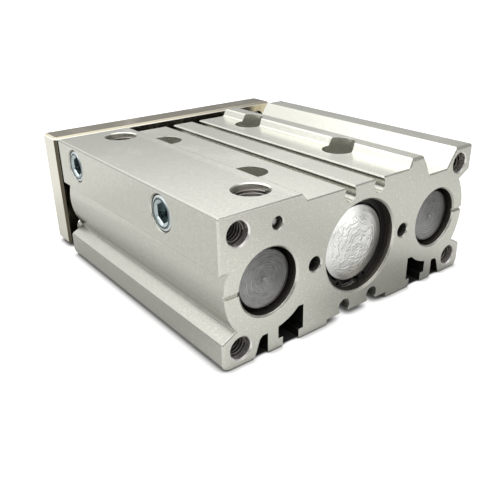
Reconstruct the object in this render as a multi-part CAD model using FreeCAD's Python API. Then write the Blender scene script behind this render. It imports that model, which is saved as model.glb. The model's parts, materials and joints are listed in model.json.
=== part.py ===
import FreeCAD, Part
import math
import os

# Guided pneumatic cylinder: an extruded body with one piston between two guide rods, all three
# fastened to a tooling plate.  Millimetres.  The origin is where the piston axis meets the rear
# face of the body; +Y runs to the tooling plate, +X across the guide rods, +Z up.

# ---------------------------------------------------------------- driving dimensions
# Travel and main layout
stroke = 50.0
body_extra_length = 37.5          # body length beyond the stroke
body_height = 40.0
guide_pitch = 64.0                # between the two guide rod axes
guide_to_side = 14.5              # guide rod axis to the side of the body
end_chamfer = 0.4                 # around both end faces of the body
edge_radius = 0.6                 # along the outer edges of the extrusion
foot_radius = 2.3                 # along the two bottom edges
top_bevel = 0.8                   # at both ends of the ridge and of the block beside the channel

# Extruded outline
corner_block_depth = 4.2          # side of the body in to the notch
corner_block_height = 7.8
bulge_half_height = 9.9           # notch above and below the guide rod axis
bulge_reach = 13.3                # guide rod axis out to the crown of the side bulge
notch_land = 0.5                  # short straight land between the notch and the bulge
port_block_depth = 14.0           # top face down to the underside of the port block
port_block_inner = 10.1           # guide rod axis in to the edge of the port block
port_block_slope = 1.8
centre_flat_drop = 2.0            # top face down to the flat between port block and ridge
ridge_outer = 8.6                 # guide rod axis in to the outer edge of the ridge
ridge_width = 4.5
ridge_rise = 0.5                  # ridge above the top face
ridge_slope = 1.1
ridge_root_radius = 0.8
channel_depth = 5.6               # V channel over the right guide rod
channel_floor_in = 5.0
channel_floor_out = 3.3
channel_top_out = 7.2
channel_step_in = 1.5
channel_step_down = 1.5

# Grooves along the body
switch_groove_pitch = 11.0
switch_groove_radius = 2.1
switch_groove_neck = 3.0
switch_groove_lip = 0.35          # bevel along both edges of the neck
switch_groove_depth = 4.0         # surface down to the bottom of the groove
recess_width = 24.0               # shallow recess under the piston bore
recess_depth = 1.8
t_slot_offset = 7.0               # guide rod axis in to the slot centre
t_slot_neck = 5.4
t_slot_lip = 2.9
t_slot_width = 8.4
t_slot_height = 9.9
t_slot_wall_radius = 13.8         # roof of the slot, about the guide rod axis
relief_start = 0.6                # guide rod axis out to the straight wall of the relief groove
relief_top = 1.7
relief_shoulder = 0.9
relief_base = 4.4
relief_height = 5.9

# Piston bore and its covers
bore_diameter = 25.0
cover_step = 0.5                  # radial step from the bore out to the cover seats
mouth_chamfer = 0.5
ring_groove_depth = 0.8
ring_thickness = 1.2
ring_width = 2.3
ring_gap_half_angle = 16.0
ring_lug_half_angle = 9.0         # from the edge of the gap to the middle of a lug
ring_lug_reach = 2.5
ring_hole_radius = 0.6
ring_axial_play = 0.1
head_cover_recess = 4.5           # rear face in to the flange of the head cover
cover_flange_thickness = 3.6
head_spigot_length = 3.9          # both spigots also share what a longer body leaves
collar_spigot_length = 5.3
collar_recess = 3.5               # front face in to the flange of the collar
spigot_wall_gap = 2.5             # annulus that feeds air around each spigot
boss_wall_gap = 2.2               # annulus around the outer boss of the head cover
boss_height = 3.2
boss_flat_share = 0.6             # flat middle of the boss over its radius
boss_crown = 1.8
boss_facets = 8
gasket_section = 1.8
gasket_groove_width = 2.0

# Piston, rod and seals
piston_length = 9.5
piston_clearance = 0.08
end_clearance = 0.3               # piston to either cover at the ends of the stroke
bumper_thickness = 1.5
bumper_chamfer = 0.35
bumper_inset = 2.0
piston_seal_width = 3.0
piston_seal_depth = 2.6
piston_magnet_width = 2.8
piston_magnet_depth = 2.2
piston_land = 1.0
rod_diameter = 10.0
rod_spigot_diameter = 7.0
rod_rivet_diameter = 9.4
rod_rivet_height = 1.2
rod_clearance = 0.04
rod_seal_width = 3.2
rod_seal_depth = 2.8
rod_seal_inset = 2.0
seal_lip = 0.9
seal_gap = 0.03

# Guide rods and bushes
guide_rod_diameter = 16.0
guide_bore_diameter = 17.7
bush_wall = 2.0
bush_lead_in = 0.5                # chamfer inside the bushes and holders
bush_clearance = 0.03
rod_end_recess = 2.0              # rear face in to the ends of the guide rods, rod in
rod_end_chamfer = 0.6
rear_bush_length = 14.0
front_bush_length = 10.0
bush_spacing = 2.0
felt_length = 3.0
holder_length = 3.0
holder_recess = 1.5
holder_clearance = 0.3
vent_width = 1.2
vent_depth = 0.8
press_gap = 0.01                  # between pieces that are pressed or screwed together

# Tooling plate and its screws
plate_gap = 6.0                   # body to plate, rod in
plate_thickness = 10.0
plate_width = 91.0
plate_height = 38.0
plate_chamfer = 0.8
plate_tap_inset_x = 6.5           # side of the plate in to its tapped holes
plate_tap_pitch_z = 26.0
guide_screw_diameter = 8.0
guide_screw_head_diameter = 13.0
guide_screw_head_height = 5.0
guide_screw_socket = 5.0
guide_screw_depth = 16.0
piston_screw_diameter = 6.0
piston_screw_head_diameter = 10.0
piston_screw_head_height = 5.0
piston_screw_socket = 4.0
piston_screw_depth = 14.0
screw_bevel = 0.5
screw_socket_depth = 3.0
screw_head_inset = 0.5
screw_hole_gap = 0.3              # radial, around shanks and heads in the plate
tap_extra_depth = 2.0

# Holes that fasten the body
tap_diameter = 6.0                # M6, holes drawn at the thread's outer diameter
tap_depth = 13.0
tap_chamfer = 0.35
tap_corner_inset_x = 5.5
tap_pitch_z = 30.0
pin_hole_diameter = 4.0
pin_hole_depth = 6.0
pin_hole_pitch = 34.0
mount_pitch_x = 34.0
mount_pitch_y = 44.0
mount_front_distance = 17.0       # front face to the nearer pair of mounting holes
mount_hole_diameter = 5.6
mount_counterbore_diameter = 10.0
mount_counterbore_depth = 9.0
mount_tap_depth = 12.0

# Air ports and passages
port_diameter = 9.72              # Rc 1/8, holes drawn at the thread's outer diameter
port_depth = 8.0
port_chamfer = 0.3
port_offset = 2.8                 # guide rod axis in to the port axis
rear_port_distance = 10.5         # rear face to the rear port
front_port_distance = 9.5         # front face to the front port
side_port_depth = 7.0
side_port_drop = 6.1              # top face down to the axis of the side ports
rear_side_port_distance = 63.0    # from the front face
front_side_port_distance = 12.0
passage_diameter = 3.5
passage_entry_angle = 42.0        # where the passage meets the bore, above the horizontal
side_passage_diameter = 4.0
link_diameter = 3.2               # drilling that joins the rear ports, closed by a ball
link_drop = 5.4                   # top face down to the drilling
link_offset = 2.5                 # guide rod axis in to the drilling
link_chamfer = 0.25
ball_recess = 1.2
plug_length = 6.0
plug_recess = 0.2
plug_bevel = 0.5
plug_socket = 5.0
plug_socket_depth = 3.5
plug_gap = 0.05

# ---------------------------------------------------------------- derived stations and radii
overrun = 1.0                     # how far cutters reach past a face
body_length = stroke + body_extra_length
body_width = guide_pitch + 2 * guide_to_side
half_width = body_width / 2
top = body_height / 2
bottom = -top
guide_x = guide_pitch / 2
bore_radius = bore_diameter / 2
mouth_radius = bore_radius + cover_step
rod_radius = rod_diameter / 2
guide_radius = guide_rod_diameter / 2
bush_seat_radius = guide_radius + bush_wall
port_x = -(guide_x - port_offset)
side_port_z = top - side_port_drop
link_x = -(guide_x - link_offset)
link_z = top - link_drop
ridge_top = top + ridge_rise
ridge_inner = guide_x - ridge_outer - ridge_width
tap_radius = tap_diameter / 2

head_cover_room = head_cover_recess + cover_flange_thickness + head_spigot_length
collar_room = collar_recess + cover_flange_thickness + collar_spigot_length
piston_room = piston_length + 2 * (bumper_thickness + end_clearance)
spigot_slack = (body_extra_length - head_cover_room - collar_room - piston_room) / 2
head_flange_end = head_cover_recess + cover_flange_thickness
head_spigot_end = head_flange_end + head_spigot_length + spigot_slack
collar_flange_end = body_length - collar_recess
collar_flange_start = collar_flange_end - cover_flange_thickness
collar_spigot_start = collar_flange_start - collar_spigot_length - spigot_slack
spigot_radius = bore_radius - spigot_wall_gap

piston_pack_start = head_spigot_end + end_clearance
piston_start = piston_pack_start + bumper_thickness
piston_end = piston_start + piston_length
piston_radius = bore_radius - piston_clearance

plate_start = body_length + plate_gap
plate_end = plate_start + plate_thickness
plate_tap_x = plate_width / 2 - plate_tap_inset_x

holder_end = body_length - holder_recess
felt_end = holder_end - holder_length
front_bush_end = felt_end - felt_length
front_bush_start = front_bush_end - front_bush_length
rear_bush_end = front_bush_start - bush_spacing
bush_shoulder = rear_bush_end - rear_bush_length

Y_AXIS = FreeCAD.Vector(0, 1, 0)
SIDES = (("left", -1), ("right", 1))


# ---------------------------------------------------------------- shared shapes
def point(x, y, z):
    return FreeCAD.Vector(x, y, z)


def rod_along_y(radius, start, end, x=0.0, z=0.0):
    """Solid cylinder along Y."""
    return Part.makeCylinder(radius, end - start, point(x, start, z), Y_AXIS)


def ring_along_y(inner, outer, start, end, x=0.0, z=0.0):
    """Plain ring along Y."""
    solid = rod_along_y(outer, start, end, x, z)
    return solid.cut(rod_along_y(inner, start - overrun, end + overrun, x, z))


def turned(profile, x=0.0, z=0.0):
    """Solid of revolution about a line along Y, from (radius, station) points."""
    corners = [point(radius, station, 0) for radius, station in profile]
    face = Part.Face(Part.makePolygon(corners + corners[:1]))
    solid = face.revolve(point(0, 0, 0), Y_AXIS, 360)
    solid.translate(point(x, 0, z))
    return solid


def drill(mouth, direction, radius, depth, chamfer=0.0):
    """Cutter for a hole that starts at a face, with a countersunk mouth."""
    direction = FreeCAD.Vector(direction)
    start = mouth - direction * overrun
    cutter = Part.makeCylinder(radius, depth + overrun, start, direction)
    if chamfer > 0:
        wide_end = radius + chamfer + overrun
        sink = Part.makeCone(wide_end, radius, chamfer + overrun, start, direction)
        cutter = cutter.fuse(sink)
    return cutter


def hexagon_along_y(across_flats, start, end, x=0.0, z=0.0):
    """Hexagonal prism along Y."""
    radius = across_flats / math.sqrt(3)
    angles = [math.radians(60 * i) for i in range(6)]
    corners = [point(x + radius * math.cos(a), start, z + radius * math.sin(a)) for a in angles]
    return Part.Face(Part.makePolygon(corners + corners[:1])).extrude(point(0, end - start, 0))


def rounded_section(corners):
    """Face in the XZ plane.  Each corner is (x, z, fillet radius, middle of an arc to the next
    corner or None for a straight edge)."""
    stations = []
    for i, (x, z, radius, _) in enumerate(corners):
        here = point(x, 0, z)
        if radius == 0:
            stations.append((here, None, here))
            continue
        before = point(corners[i - 1][0], 0, corners[i - 1][1]) - here
        after = point(corners[(i + 1) % len(corners)][0], 0, corners[(i + 1) % len(corners)][1]) - here
        half = before.getAngle(after) / 2
        before.normalize()
        after.normalize()
        inward = before + after
        inward.normalize()
        back = radius / math.tan(half)
        middle = here + inward * (radius / math.sin(half) - radius)
        stations.append((here + before * back, middle, here + after * back))
    edges = []
    for i, (start, middle, end) in enumerate(stations):
        if middle is not None:
            edges.append(Part.Arc(start, middle, end).toShape())
        following = stations[(i + 1) % len(stations)][0]
        arc_middle = corners[i][3]
        if arc_middle is None:
            edges.append(Part.LineSegment(end, following).toShape())
        else:
            edges.append(Part.Arc(end, point(arc_middle[0], 0, arc_middle[1]), following).toShape())
    return Part.Face(Part.Wire(edges))


def groove(corners):
    """Cutter along the whole body from a straight-sided section of (x, z) corners."""
    section = rounded_section([(x, z, 0, None) for x, z in corners])
    cutter = section.extrude(point(0, body_length + 2 * overrun, 0))
    cutter.translate(point(0, -overrun, 0))
    return cutter


# ---------------------------------------------------------------- body
def bulge_x(z):
    """How far the side bulge reaches at a height above the guide rod axis."""
    crown = guide_x + bulge_reach
    rise = crown - (half_width - corner_block_depth)
    radius = (bulge_half_height ** 2 + rise ** 2) / (2 * rise)
    return crown - radius + math.sqrt(radius ** 2 - z ** 2)


def body_outline():
    """Outer section of the extrusion, without its grooves."""
    notch = half_width - corner_block_depth
    crown = guide_x + bulge_reach
    port_step = top - port_block_depth
    flat = top - centre_flat_drop
    floor = top - channel_depth
    block_inner = guide_x - port_block_inner
    arc_end = bulge_half_height - notch_land
    middle = (port_step - arc_end) / 2
    return [
        (-half_width, bottom, foot_radius, None),
        (half_width, bottom, foot_radius, None),
        (half_width, bottom + corner_block_height, edge_radius, None),
        (notch, -bulge_half_height, 0, None),
        (bulge_x(arc_end), -arc_end, 0, (crown, 0)),
        (bulge_x(arc_end), arc_end, 0, None),
        (notch, bulge_half_height, 0, None),
        (half_width, top - corner_block_height, edge_radius, None),
        (half_width, top, edge_radius, None),
        (guide_x + channel_top_out, top, edge_radius, None),
        (guide_x + channel_floor_out, floor, 0, None),
        (guide_x - channel_floor_in, floor, edge_radius, None),
        (guide_x - ridge_outer + channel_step_in, top - channel_step_down, 0, None),
        (guide_x - ridge_outer, ridge_top, 0, None),
        (ridge_inner, ridge_top, edge_radius, None),
        (ridge_inner - ridge_slope, flat, ridge_root_radius, None),
        (-block_inner + port_block_slope, flat, 0, None),
        (-block_inner, top, edge_radius, None),
        (-half_width, top, edge_radius, None),
        (-half_width, port_step, 0, None),
        (-bulge_x(port_step), port_step, 0, (-bulge_x(middle), middle)),
        (-bulge_x(arc_end), -arc_end, 0, None),
        (-notch, -bulge_half_height, 0, None),
        (-half_width, bottom + corner_block_height, edge_radius, None),
    ]


def t_slot(side):
    """T-slot under one guide rod; its roof follows the wall around the rod."""
    centre = side * (guide_x - t_slot_offset)
    lip = bottom + t_slot_lip
    roof = bottom + t_slot_height
    neck, wide = t_slot_neck / 2, t_slot_width / 2
    under_neck = bottom - overrun
    slot = groove([
        (centre - wide, lip),
        (centre + wide, lip),
        (centre + wide, roof),
        (centre - wide, roof),
    ])
    wall = rod_along_y(t_slot_wall_radius, -2 * overrun, body_length + 2 * overrun, side * guide_x)
    slot = slot.cut(wall)
    return slot.fuse(groove([
        (centre - neck, under_neck),
        (centre + neck, under_neck),
        (centre + neck, lip + overrun / 2),
        (centre - neck, lip + overrun / 2),
    ]))


def relief_groove(side):
    """Tapered groove between a T-slot and the foot of the body."""
    wall = guide_x + relief_start
    roof = bottom + relief_height
    slant = relief_base - relief_top - relief_shoulder
    drop = relief_height - relief_shoulder
    run_out = slant * overrun / drop
    corners = [
        (wall, bottom - overrun),
        (wall, roof),
        (wall + relief_top, roof),
        (wall + relief_top + relief_shoulder, roof - relief_shoulder),
        (wall + relief_base + run_out, bottom - overrun),
    ]
    return groove([(side * x, z) for x, z in corners])


def switch_groove(x, surface, inward):
    """Round groove for a position switch, opening through a narrower neck."""
    centre = surface + inward * (switch_groove_depth - switch_groove_radius)
    outside = surface - inward * overrun
    lip_end = surface + inward * switch_groove_lip
    half_neck = switch_groove_neck / 2
    half_mouth = half_neck + switch_groove_lip + overrun
    bore = rod_along_y(switch_groove_radius, -overrun, body_length + overrun, x, centre)
    neck = groove([(x - half_neck, centre), (x + half_neck, centre), (x + half_neck, lip_end),
                   (x + half_mouth, outside), (x - half_mouth, outside), (x - half_neck, lip_end)])
    return bore.fuse(neck)


def top_bevel_cutters(x_from, x_to, surface):
    """Wedges that bevel both ends of a narrow top face at the height of that surface."""
    low = surface - top_bevel - overrun
    high = surface + overrun
    cutters = []
    for face, inward in ((0, 1), (body_length, -1)):
        outside = face - inward * overrun
        inside = face + inward * (top_bevel + overrun)
        corners = [point(x_from, outside, low), point(x_from, inside, high), point(x_from, outside, high)]
        wedge = Part.Face(Part.makePolygon(corners + corners[:1]))
        cutters.append(wedge.extrude(point(x_to - x_from, 0, 0)))
    return cutters


def groove_cutters():
    recess_floor = bottom + recess_depth
    half_recess = recess_width / 2
    cutters = [groove([
        (-half_recess, bottom - overrun),
        (half_recess, bottom - overrun),
        (half_recess, recess_floor),
        (-half_recess, recess_floor),
    ])]
    for _, side in SIDES:
        x = side * switch_groove_pitch / 2
        cutters.append(switch_groove(x, top - centre_flat_drop, -1))
        cutters.append(switch_groove(x, recess_floor, 1))
        cutters.append(t_slot(side))
        cutters.append(relief_groove(side))
    return cutters


def bore_cutter():
    """Piston bore with the seats of both covers and the grooves of their retaining rings."""
    groove_radius = mouth_radius + ring_groove_depth
    head_groove = head_cover_recess - ring_thickness - ring_axial_play
    collar_groove = collar_flange_end + ring_thickness + ring_axial_play
    return turned([
        (0, -overrun),
        (mouth_radius + mouth_chamfer + overrun, -overrun),
        (mouth_radius, mouth_chamfer),
        (mouth_radius, head_groove),
        (groove_radius, head_groove),
        (groove_radius, head_cover_recess),
        (mouth_radius, head_cover_recess),
        (mouth_radius, head_flange_end),
        (bore_radius, head_flange_end),
        (bore_radius, collar_flange_start),
        (mouth_radius, collar_flange_start),
        (mouth_radius, collar_flange_end),
        (groove_radius, collar_flange_end),
        (groove_radius, collar_groove),
        (mouth_radius, collar_groove),
        (mouth_radius, body_length - mouth_chamfer),
        (mouth_radius + mouth_chamfer + overrun, body_length + overrun),
        (0, body_length + overrun),
    ])


def guide_bore_cutter(side):
    """Clearance bore of a guide rod, the seat of its bushes, and its vent on the rear face."""
    radius = guide_bore_diameter / 2
    bore = turned([
        (0, -overrun),
        (radius + mouth_chamfer + overrun, -overrun),
        (radius, mouth_chamfer),
        (radius, bush_shoulder),
        (bush_seat_radius, bush_shoulder),
        (bush_seat_radius, body_length - mouth_chamfer),
        (bush_seat_radius + mouth_chamfer + overrun, body_length + overrun),
        (0, body_length + overrun),
    ], side * guide_x)
    vent = Part.makeBox(half_width, vent_depth + overrun, vent_width)
    vent.translate(point(side * guide_x - (half_width if side < 0 else 0), -overrun, -vent_width / 2))
    return bore.fuse(vent)


def fastening_cutters():
    """Tapped holes and pin holes of the rear face, and the mounting holes through the body."""
    forward, down, up = Y_AXIS, point(0, 0, -1), point(0, 0, 1)
    cutters = []
    for _, side in SIDES:
        tap_x = side * (half_width - tap_corner_inset_x)
        for level in (-1, 1):
            mouth = point(tap_x, 0, level * tap_pitch_z / 2)
            cutters.append(drill(mouth, forward, tap_radius, tap_depth, tap_chamfer))
        mouth = point(side * pin_hole_pitch / 2, 0, 0)
        cutters.append(drill(mouth, forward, pin_hole_diameter / 2, pin_hole_depth, tap_chamfer))
        for step in (0, 1):
            x = side * mount_pitch_x / 2
            y = body_length - mount_front_distance - step * mount_pitch_y
            cutters.append(drill(point(x, y, top), down, mount_hole_diameter / 2, body_height + overrun))
            cutters.append(drill(point(x, y, top), down, mount_counterbore_diameter / 2,
                                 mount_counterbore_depth))
            cutters.append(drill(point(x, y, bottom), up, tap_radius, mount_tap_depth, tap_chamfer))
    return cutters


def straight_passage(start, end, diameter):
    return Part.makeCylinder(diameter / 2, start.distanceToPoint(end), start, end - start)


def air_cutters():
    """Top and side ports of both ends, and the passages that join them to the bore."""
    down, inward = point(0, 0, -1), point(1, 0, 0)
    entry = math.radians(passage_entry_angle)
    stations = (
        (rear_port_distance, body_length - rear_side_port_distance),
        (body_length - front_port_distance, body_length - front_side_port_distance),
    )
    cutters = []
    for top_y, side_y in stations:
        cutters.append(drill(point(port_x, top_y, top), down, port_diameter / 2, port_depth, port_chamfer))
        start = point(port_x, top_y, top - port_depth + passage_diameter / 2)
        end = point(-bore_radius * math.cos(entry), top_y, bore_radius * math.sin(entry))
        reach = end + (end - start) * (cover_step / end.distanceToPoint(start))
        cutters.append(straight_passage(start, reach, passage_diameter))
        mouth = point(-half_width, side_y, side_port_z)
        cutters.append(drill(mouth, inward, port_diameter / 2, side_port_depth, port_chamfer))
        cutters.append(straight_passage(mouth, point(port_x, side_y, side_port_z),
                                        side_passage_diameter))
    link_end = body_length - rear_side_port_distance
    cutters.append(drill(point(link_x, 0, link_z), Y_AXIS, link_diameter / 2, link_end, link_chamfer))
    return cutters


def make_body():
    blank = rounded_section(body_outline()).extrude(point(0, body_length, 0))
    ends = [edge for edge in blank.Edges
            if edge.BoundBox.YLength < 1e-6]
    blank = blank.makeChamfer(end_chamfer, ends)
    cutters = groove_cutters() + [bore_cutter()]
    cutters += [guide_bore_cutter(side) for _, side in SIDES]
    cutters += fastening_cutters() + air_cutters()
    cutters += top_bevel_cutters(ridge_inner - ridge_slope, guide_x, ridge_top)
    cutters += top_bevel_cutters(guide_x, half_width + overrun, top)
    return blank.cut(cutters)


# ---------------------------------------------------------------- covers of the piston bore
def gasket_groove_profile(start):
    """Points of a gasket groove in the rim of a flange, from its rear wall to its front wall."""
    rim = mouth_radius - press_gap
    floor = mouth_radius - gasket_section
    first = start + (cover_flange_thickness - gasket_groove_width) / 2
    return [(rim, first), (floor, first), (floor, first + gasket_groove_width),
            (rim, first + gasket_groove_width)]


def make_head_cover():
    """Plug of the rear end, with a domed outer boss."""
    rim = mouth_radius - press_gap
    boss = mouth_radius - boss_wall_gap
    front = head_cover_recess
    profile = [(0, front - boss_height)]
    crown_start = boss * boss_flat_share
    for i in range(boss_facets + 1):
        angle = math.radians(90 * i / boss_facets)
        radius = crown_start + (boss - crown_start) * math.sin(angle)
        station = front - boss_height + boss_crown * (1 - math.cos(angle))
        profile.append((radius, station))
    profile += [(boss, front), (rim, front)]
    profile += gasket_groove_profile(front)
    profile += [(rim, head_flange_end), (spigot_radius, head_flange_end),
                (spigot_radius, head_spigot_end), (0, head_spigot_end)]
    return turned(profile)


def make_rod_collar():
    """Bearing collar of the front end, with the pocket of the rod seal."""
    rim = mouth_radius - press_gap
    running = rod_radius + rod_clearance
    pocket = rod_radius + rod_seal_depth
    seal_start = collar_spigot_start + rod_seal_inset
    profile = [(running, collar_spigot_start), (spigot_radius, collar_spigot_start),
               (spigot_radius, collar_flange_start), (rim, collar_flange_start)]
    profile += gasket_groove_profile(collar_flange_start)
    profile += [(rim, collar_flange_end), (running, collar_flange_end),
                (running, seal_start + rod_seal_width), (pocket, seal_start + rod_seal_width),
                (pocket, seal_start), (running, seal_start)]
    return turned(profile)


def make_gasket(flange_start):
    """Round-section ring in the groove of a flange."""
    section = (gasket_section - press_gap * 2) / 2
    centre = point(0, flange_start + cover_flange_thickness / 2, 0)
    return Part.makeTorus(mouth_radius - gasket_section / 2, section, centre, Y_AXIS)


def make_retaining_ring(start):
    """Spring ring with two drilled lugs beside its gap, which faces down."""
    outer = mouth_radius + ring_groove_depth - press_gap
    inner = outer - ring_width
    end = start + ring_thickness
    ring = ring_along_y(inner, outer, start, end)
    lug_angle = math.radians(ring_gap_half_angle + ring_lug_half_angle)
    lug_radius = ring_lug_reach / 2
    lug_centre = outer - ring_lug_reach / 2 - ring_groove_depth / 2
    lugs = [(side * lug_centre * math.sin(lug_angle), -lug_centre * math.cos(lug_angle))
            for _, side in SIDES]
    for x, z in lugs:
        ring = ring.fuse(rod_along_y(lug_radius, start, end, x, z))
    half_gap = outer * math.tan(math.radians(ring_gap_half_angle))
    gap = [point(0, 0, 0), point(-2 * half_gap, 0, -2 * outer), point(2 * half_gap, 0, -2 * outer)]
    wedge = Part.Face(Part.makePolygon(gap + gap[:1])).extrude(point(0, ring_thickness + 2 * overrun, 0))
    wedge.translate(point(0, start - overrun, 0))
    ring = ring.cut(wedge)
    limit = rod_along_y(outer, start, end)
    ring = ring.common(limit)
    for x, z in lugs:
        ring = ring.cut(rod_along_y(ring_hole_radius, start - overrun, end + overrun, x, z))
    return ring


def make_rod_seal():
    """Lip seal of the piston rod; the lips open to the chamber."""
    start = collar_spigot_start + rod_seal_inset
    end = start + rod_seal_width - press_gap
    inner = rod_radius + seal_gap
    outer = rod_radius + rod_seal_depth - press_gap
    middle = (inner + outer) / 2
    return turned([
        (inner, start + press_gap), (inner + seal_lip, start + press_gap),
        (middle, start + rod_seal_width / 2), (outer - seal_lip, start + press_gap),
        (outer, start + press_gap), (outer, end), (inner + seal_gap, end),
        (inner + seal_gap, start + rod_seal_width / 2),
    ])


# ---------------------------------------------------------------- piston group
def piston_grooves():
    """Stations of the seal groove and the magnet groove."""
    seal_start = piston_start + piston_land
    magnet_start = piston_end - piston_land - piston_magnet_width
    return seal_start, magnet_start


def make_piston():
    seal_start, magnet_start = piston_grooves()
    seal_floor = bore_radius - piston_seal_depth
    magnet_floor = bore_radius - piston_magnet_depth
    bumper_seat = piston_radius - bumper_inset
    hole = rod_spigot_diameter / 2 + press_gap
    rivet = rod_rivet_diameter / 2 + press_gap
    return turned([
        (rivet, piston_start), (bumper_seat, piston_start), (piston_radius, piston_start),
        (piston_radius, seal_start), (seal_floor, seal_start),
        (seal_floor, seal_start + piston_seal_width), (piston_radius, seal_start + piston_seal_width),
        (piston_radius, magnet_start), (magnet_floor, magnet_start),
        (magnet_floor, magnet_start + piston_magnet_width),
        (piston_radius, magnet_start + piston_magnet_width),
        (piston_radius, piston_end), (hole, piston_end),
        (hole, piston_start + rod_rivet_height), (rivet, piston_start + rod_rivet_height),
    ])


def make_piston_seal():
    """Two-lipped seal that works both ways."""
    start = piston_grooves()[0] + press_gap
    end = start + piston_seal_width - 2 * press_gap
    outer = bore_radius - seal_gap
    inner = bore_radius - piston_seal_depth + press_gap
    middle = (start + end) / 2
    waist = outer - seal_lip
    return turned([
        (inner, start), (waist, start), (outer, start + seal_lip / 2), (waist, middle),
        (outer, end - seal_lip / 2), (waist, end), (inner, end),
    ])


def make_piston_magnet():
    start = piston_grooves()[1] + press_gap
    inner = bore_radius - piston_magnet_depth + press_gap
    return ring_along_y(inner, piston_radius - press_gap, start,
                        start + piston_magnet_width - 2 * press_gap)


def make_bumper(start, inner):
    """Rubber ring on a face of the piston."""
    outer = piston_radius - bumper_inset
    end = start + bumper_thickness
    return turned([
        (inner, start), (outer - bumper_chamfer, start), (outer, start + bumper_chamfer),
        (outer, end - bumper_chamfer), (outer - bumper_chamfer, end), (inner, end),
    ])


def make_piston_rod():
    """Rod with a riveted spigot at the piston and a tapped end at the plate."""
    spigot = rod_spigot_diameter / 2
    rivet = rod_rivet_diameter / 2
    rod = turned([
        (0, piston_start), (rivet, piston_start), (rivet, piston_start + rod_rivet_height),
        (spigot, piston_start + rod_rivet_height), (spigot, piston_end), (rod_radius, piston_end),
        (rod_radius, plate_start - rod_end_chamfer), (rod_radius - rod_end_chamfer, plate_start),
        (0, plate_start),
    ])
    hole = drill(point(0, plate_start, 0), point(0, -1, 0), piston_screw_diameter / 2,
                 piston_screw_depth + tap_extra_depth, tap_chamfer)
    return rod.cut(hole)


# ---------------------------------------------------------------- guide rods and their bushes
def make_guide_rod(side):
    rod = turned([
        (0, rod_end_recess), (guide_radius - rod_end_chamfer, rod_end_recess),
        (guide_radius, rod_end_recess + rod_end_chamfer),
        (guide_radius, plate_start - rod_end_chamfer), (guide_radius - rod_end_chamfer, plate_start),
        (0, plate_start),
    ], side * guide_x)
    hole = drill(point(side * guide_x, plate_start, 0), point(0, -1, 0), guide_screw_diameter / 2,
                 guide_screw_depth + tap_extra_depth, tap_chamfer)
    return rod.cut(hole)


def make_bush(side, start, end):
    """Plain bearing with a lead-in at both ends."""
    inner = guide_radius + bush_clearance
    outer = bush_seat_radius - press_gap
    return turned([
        (inner + bush_lead_in, start), (outer, start), (outer, end), (inner + bush_lead_in, end),
        (inner, end - bush_lead_in), (inner, start + bush_lead_in),
    ], side * guide_x)


def make_felt(side):
    inner = guide_radius + 2 * bush_clearance
    return ring_along_y(inner, bush_seat_radius - press_gap, front_bush_end, felt_end, side * guide_x)


def make_holder(side):
    """Cup that keeps the felt in its seat."""
    inner = guide_radius + holder_clearance
    outer = bush_seat_radius - press_gap
    lead_start = holder_end - bush_lead_in
    return turned([
        (inner, felt_end), (outer, felt_end), (outer, lead_start), (outer - bush_lead_in, holder_end),
        (inner + bush_lead_in, holder_end), (inner, lead_start),
    ], side * guide_x)


# ---------------------------------------------------------------- tooling plate and screws
def socket_screw(diameter, head_diameter, head_height, socket, depth, x=0.0):
    """Socket head screw from the plate back into a rod end."""
    head_end = plate_end - screw_head_inset
    head_start = head_end - head_height
    shank = diameter / 2 - press_gap
    head = head_diameter / 2
    tip = plate_start - depth
    screw = turned([
        (0, tip), (shank - screw_bevel, tip), (shank, tip + screw_bevel), (shank, head_start),
        (head, head_start), (head, head_end - screw_bevel), (head - screw_bevel, head_end),
        (0, head_end),
    ], x)
    recess = hexagon_along_y(socket, head_end - screw_socket_depth, head_end + overrun, x)
    return screw.cut(recess)


def plate_screw_cutter(diameter, head_diameter, head_height, x=0.0):
    """Counterbored hole of one plate screw."""
    back = point(0, -1, 0)
    mouth = point(x, plate_end, 0)
    through = drill(mouth, back, diameter / 2 + screw_hole_gap, plate_thickness + overrun)
    sink = drill(mouth, back, head_diameter / 2 + screw_hole_gap, head_height + screw_head_inset,
                 tap_chamfer)
    return through.fuse(sink)


def make_tooling_plate():
    plate = Part.makeBox(plate_width, plate_thickness, plate_height)
    plate.translate(point(-plate_width / 2, plate_start, -plate_height / 2))
    plate = plate.makeChamfer(plate_chamfer, plate.Edges)
    cutters = [plate_screw_cutter(piston_screw_diameter, piston_screw_head_diameter,
                                  piston_screw_head_height)]
    for _, side in SIDES:
        cutters.append(plate_screw_cutter(guide_screw_diameter, guide_screw_head_diameter,
                                          guide_screw_head_height, side * guide_x))
        for level in (-1, 1):
            mouth = point(side * plate_tap_x, plate_end, level * plate_tap_pitch_z / 2)
            cutters.append(drill(mouth, point(0, -1, 0), tap_radius, plate_thickness + overrun,
                                 tap_chamfer))
    return plate.cut(cutters)


# ---------------------------------------------------------------- plugs of the air passages
def make_side_plug(station):
    """Taper plug of a side port, with a hexagon socket."""
    radius = port_diameter / 2 - plug_gap
    plug = turned([
        (0, 0), (radius - plug_bevel, 0), (radius, plug_bevel), (radius, plug_length - plug_bevel),
        (radius - plug_bevel, plug_length), (0, plug_length),
    ])
    plug = plug.cut(hexagon_along_y(plug_socket, -overrun, plug_socket_depth))
    plug.rotate(point(0, 0, 0), point(0, 0, 1), -90)
    plug.translate(point(-half_width + plug_recess, body_length - station, side_port_z))
    return plug


def make_ball_plug():
    """Steel ball pressed into the drilling that joins the rear ports."""
    radius = link_diameter / 2
    return Part.makeSphere(radius, point(link_x, ball_recess + radius, link_z))


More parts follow.
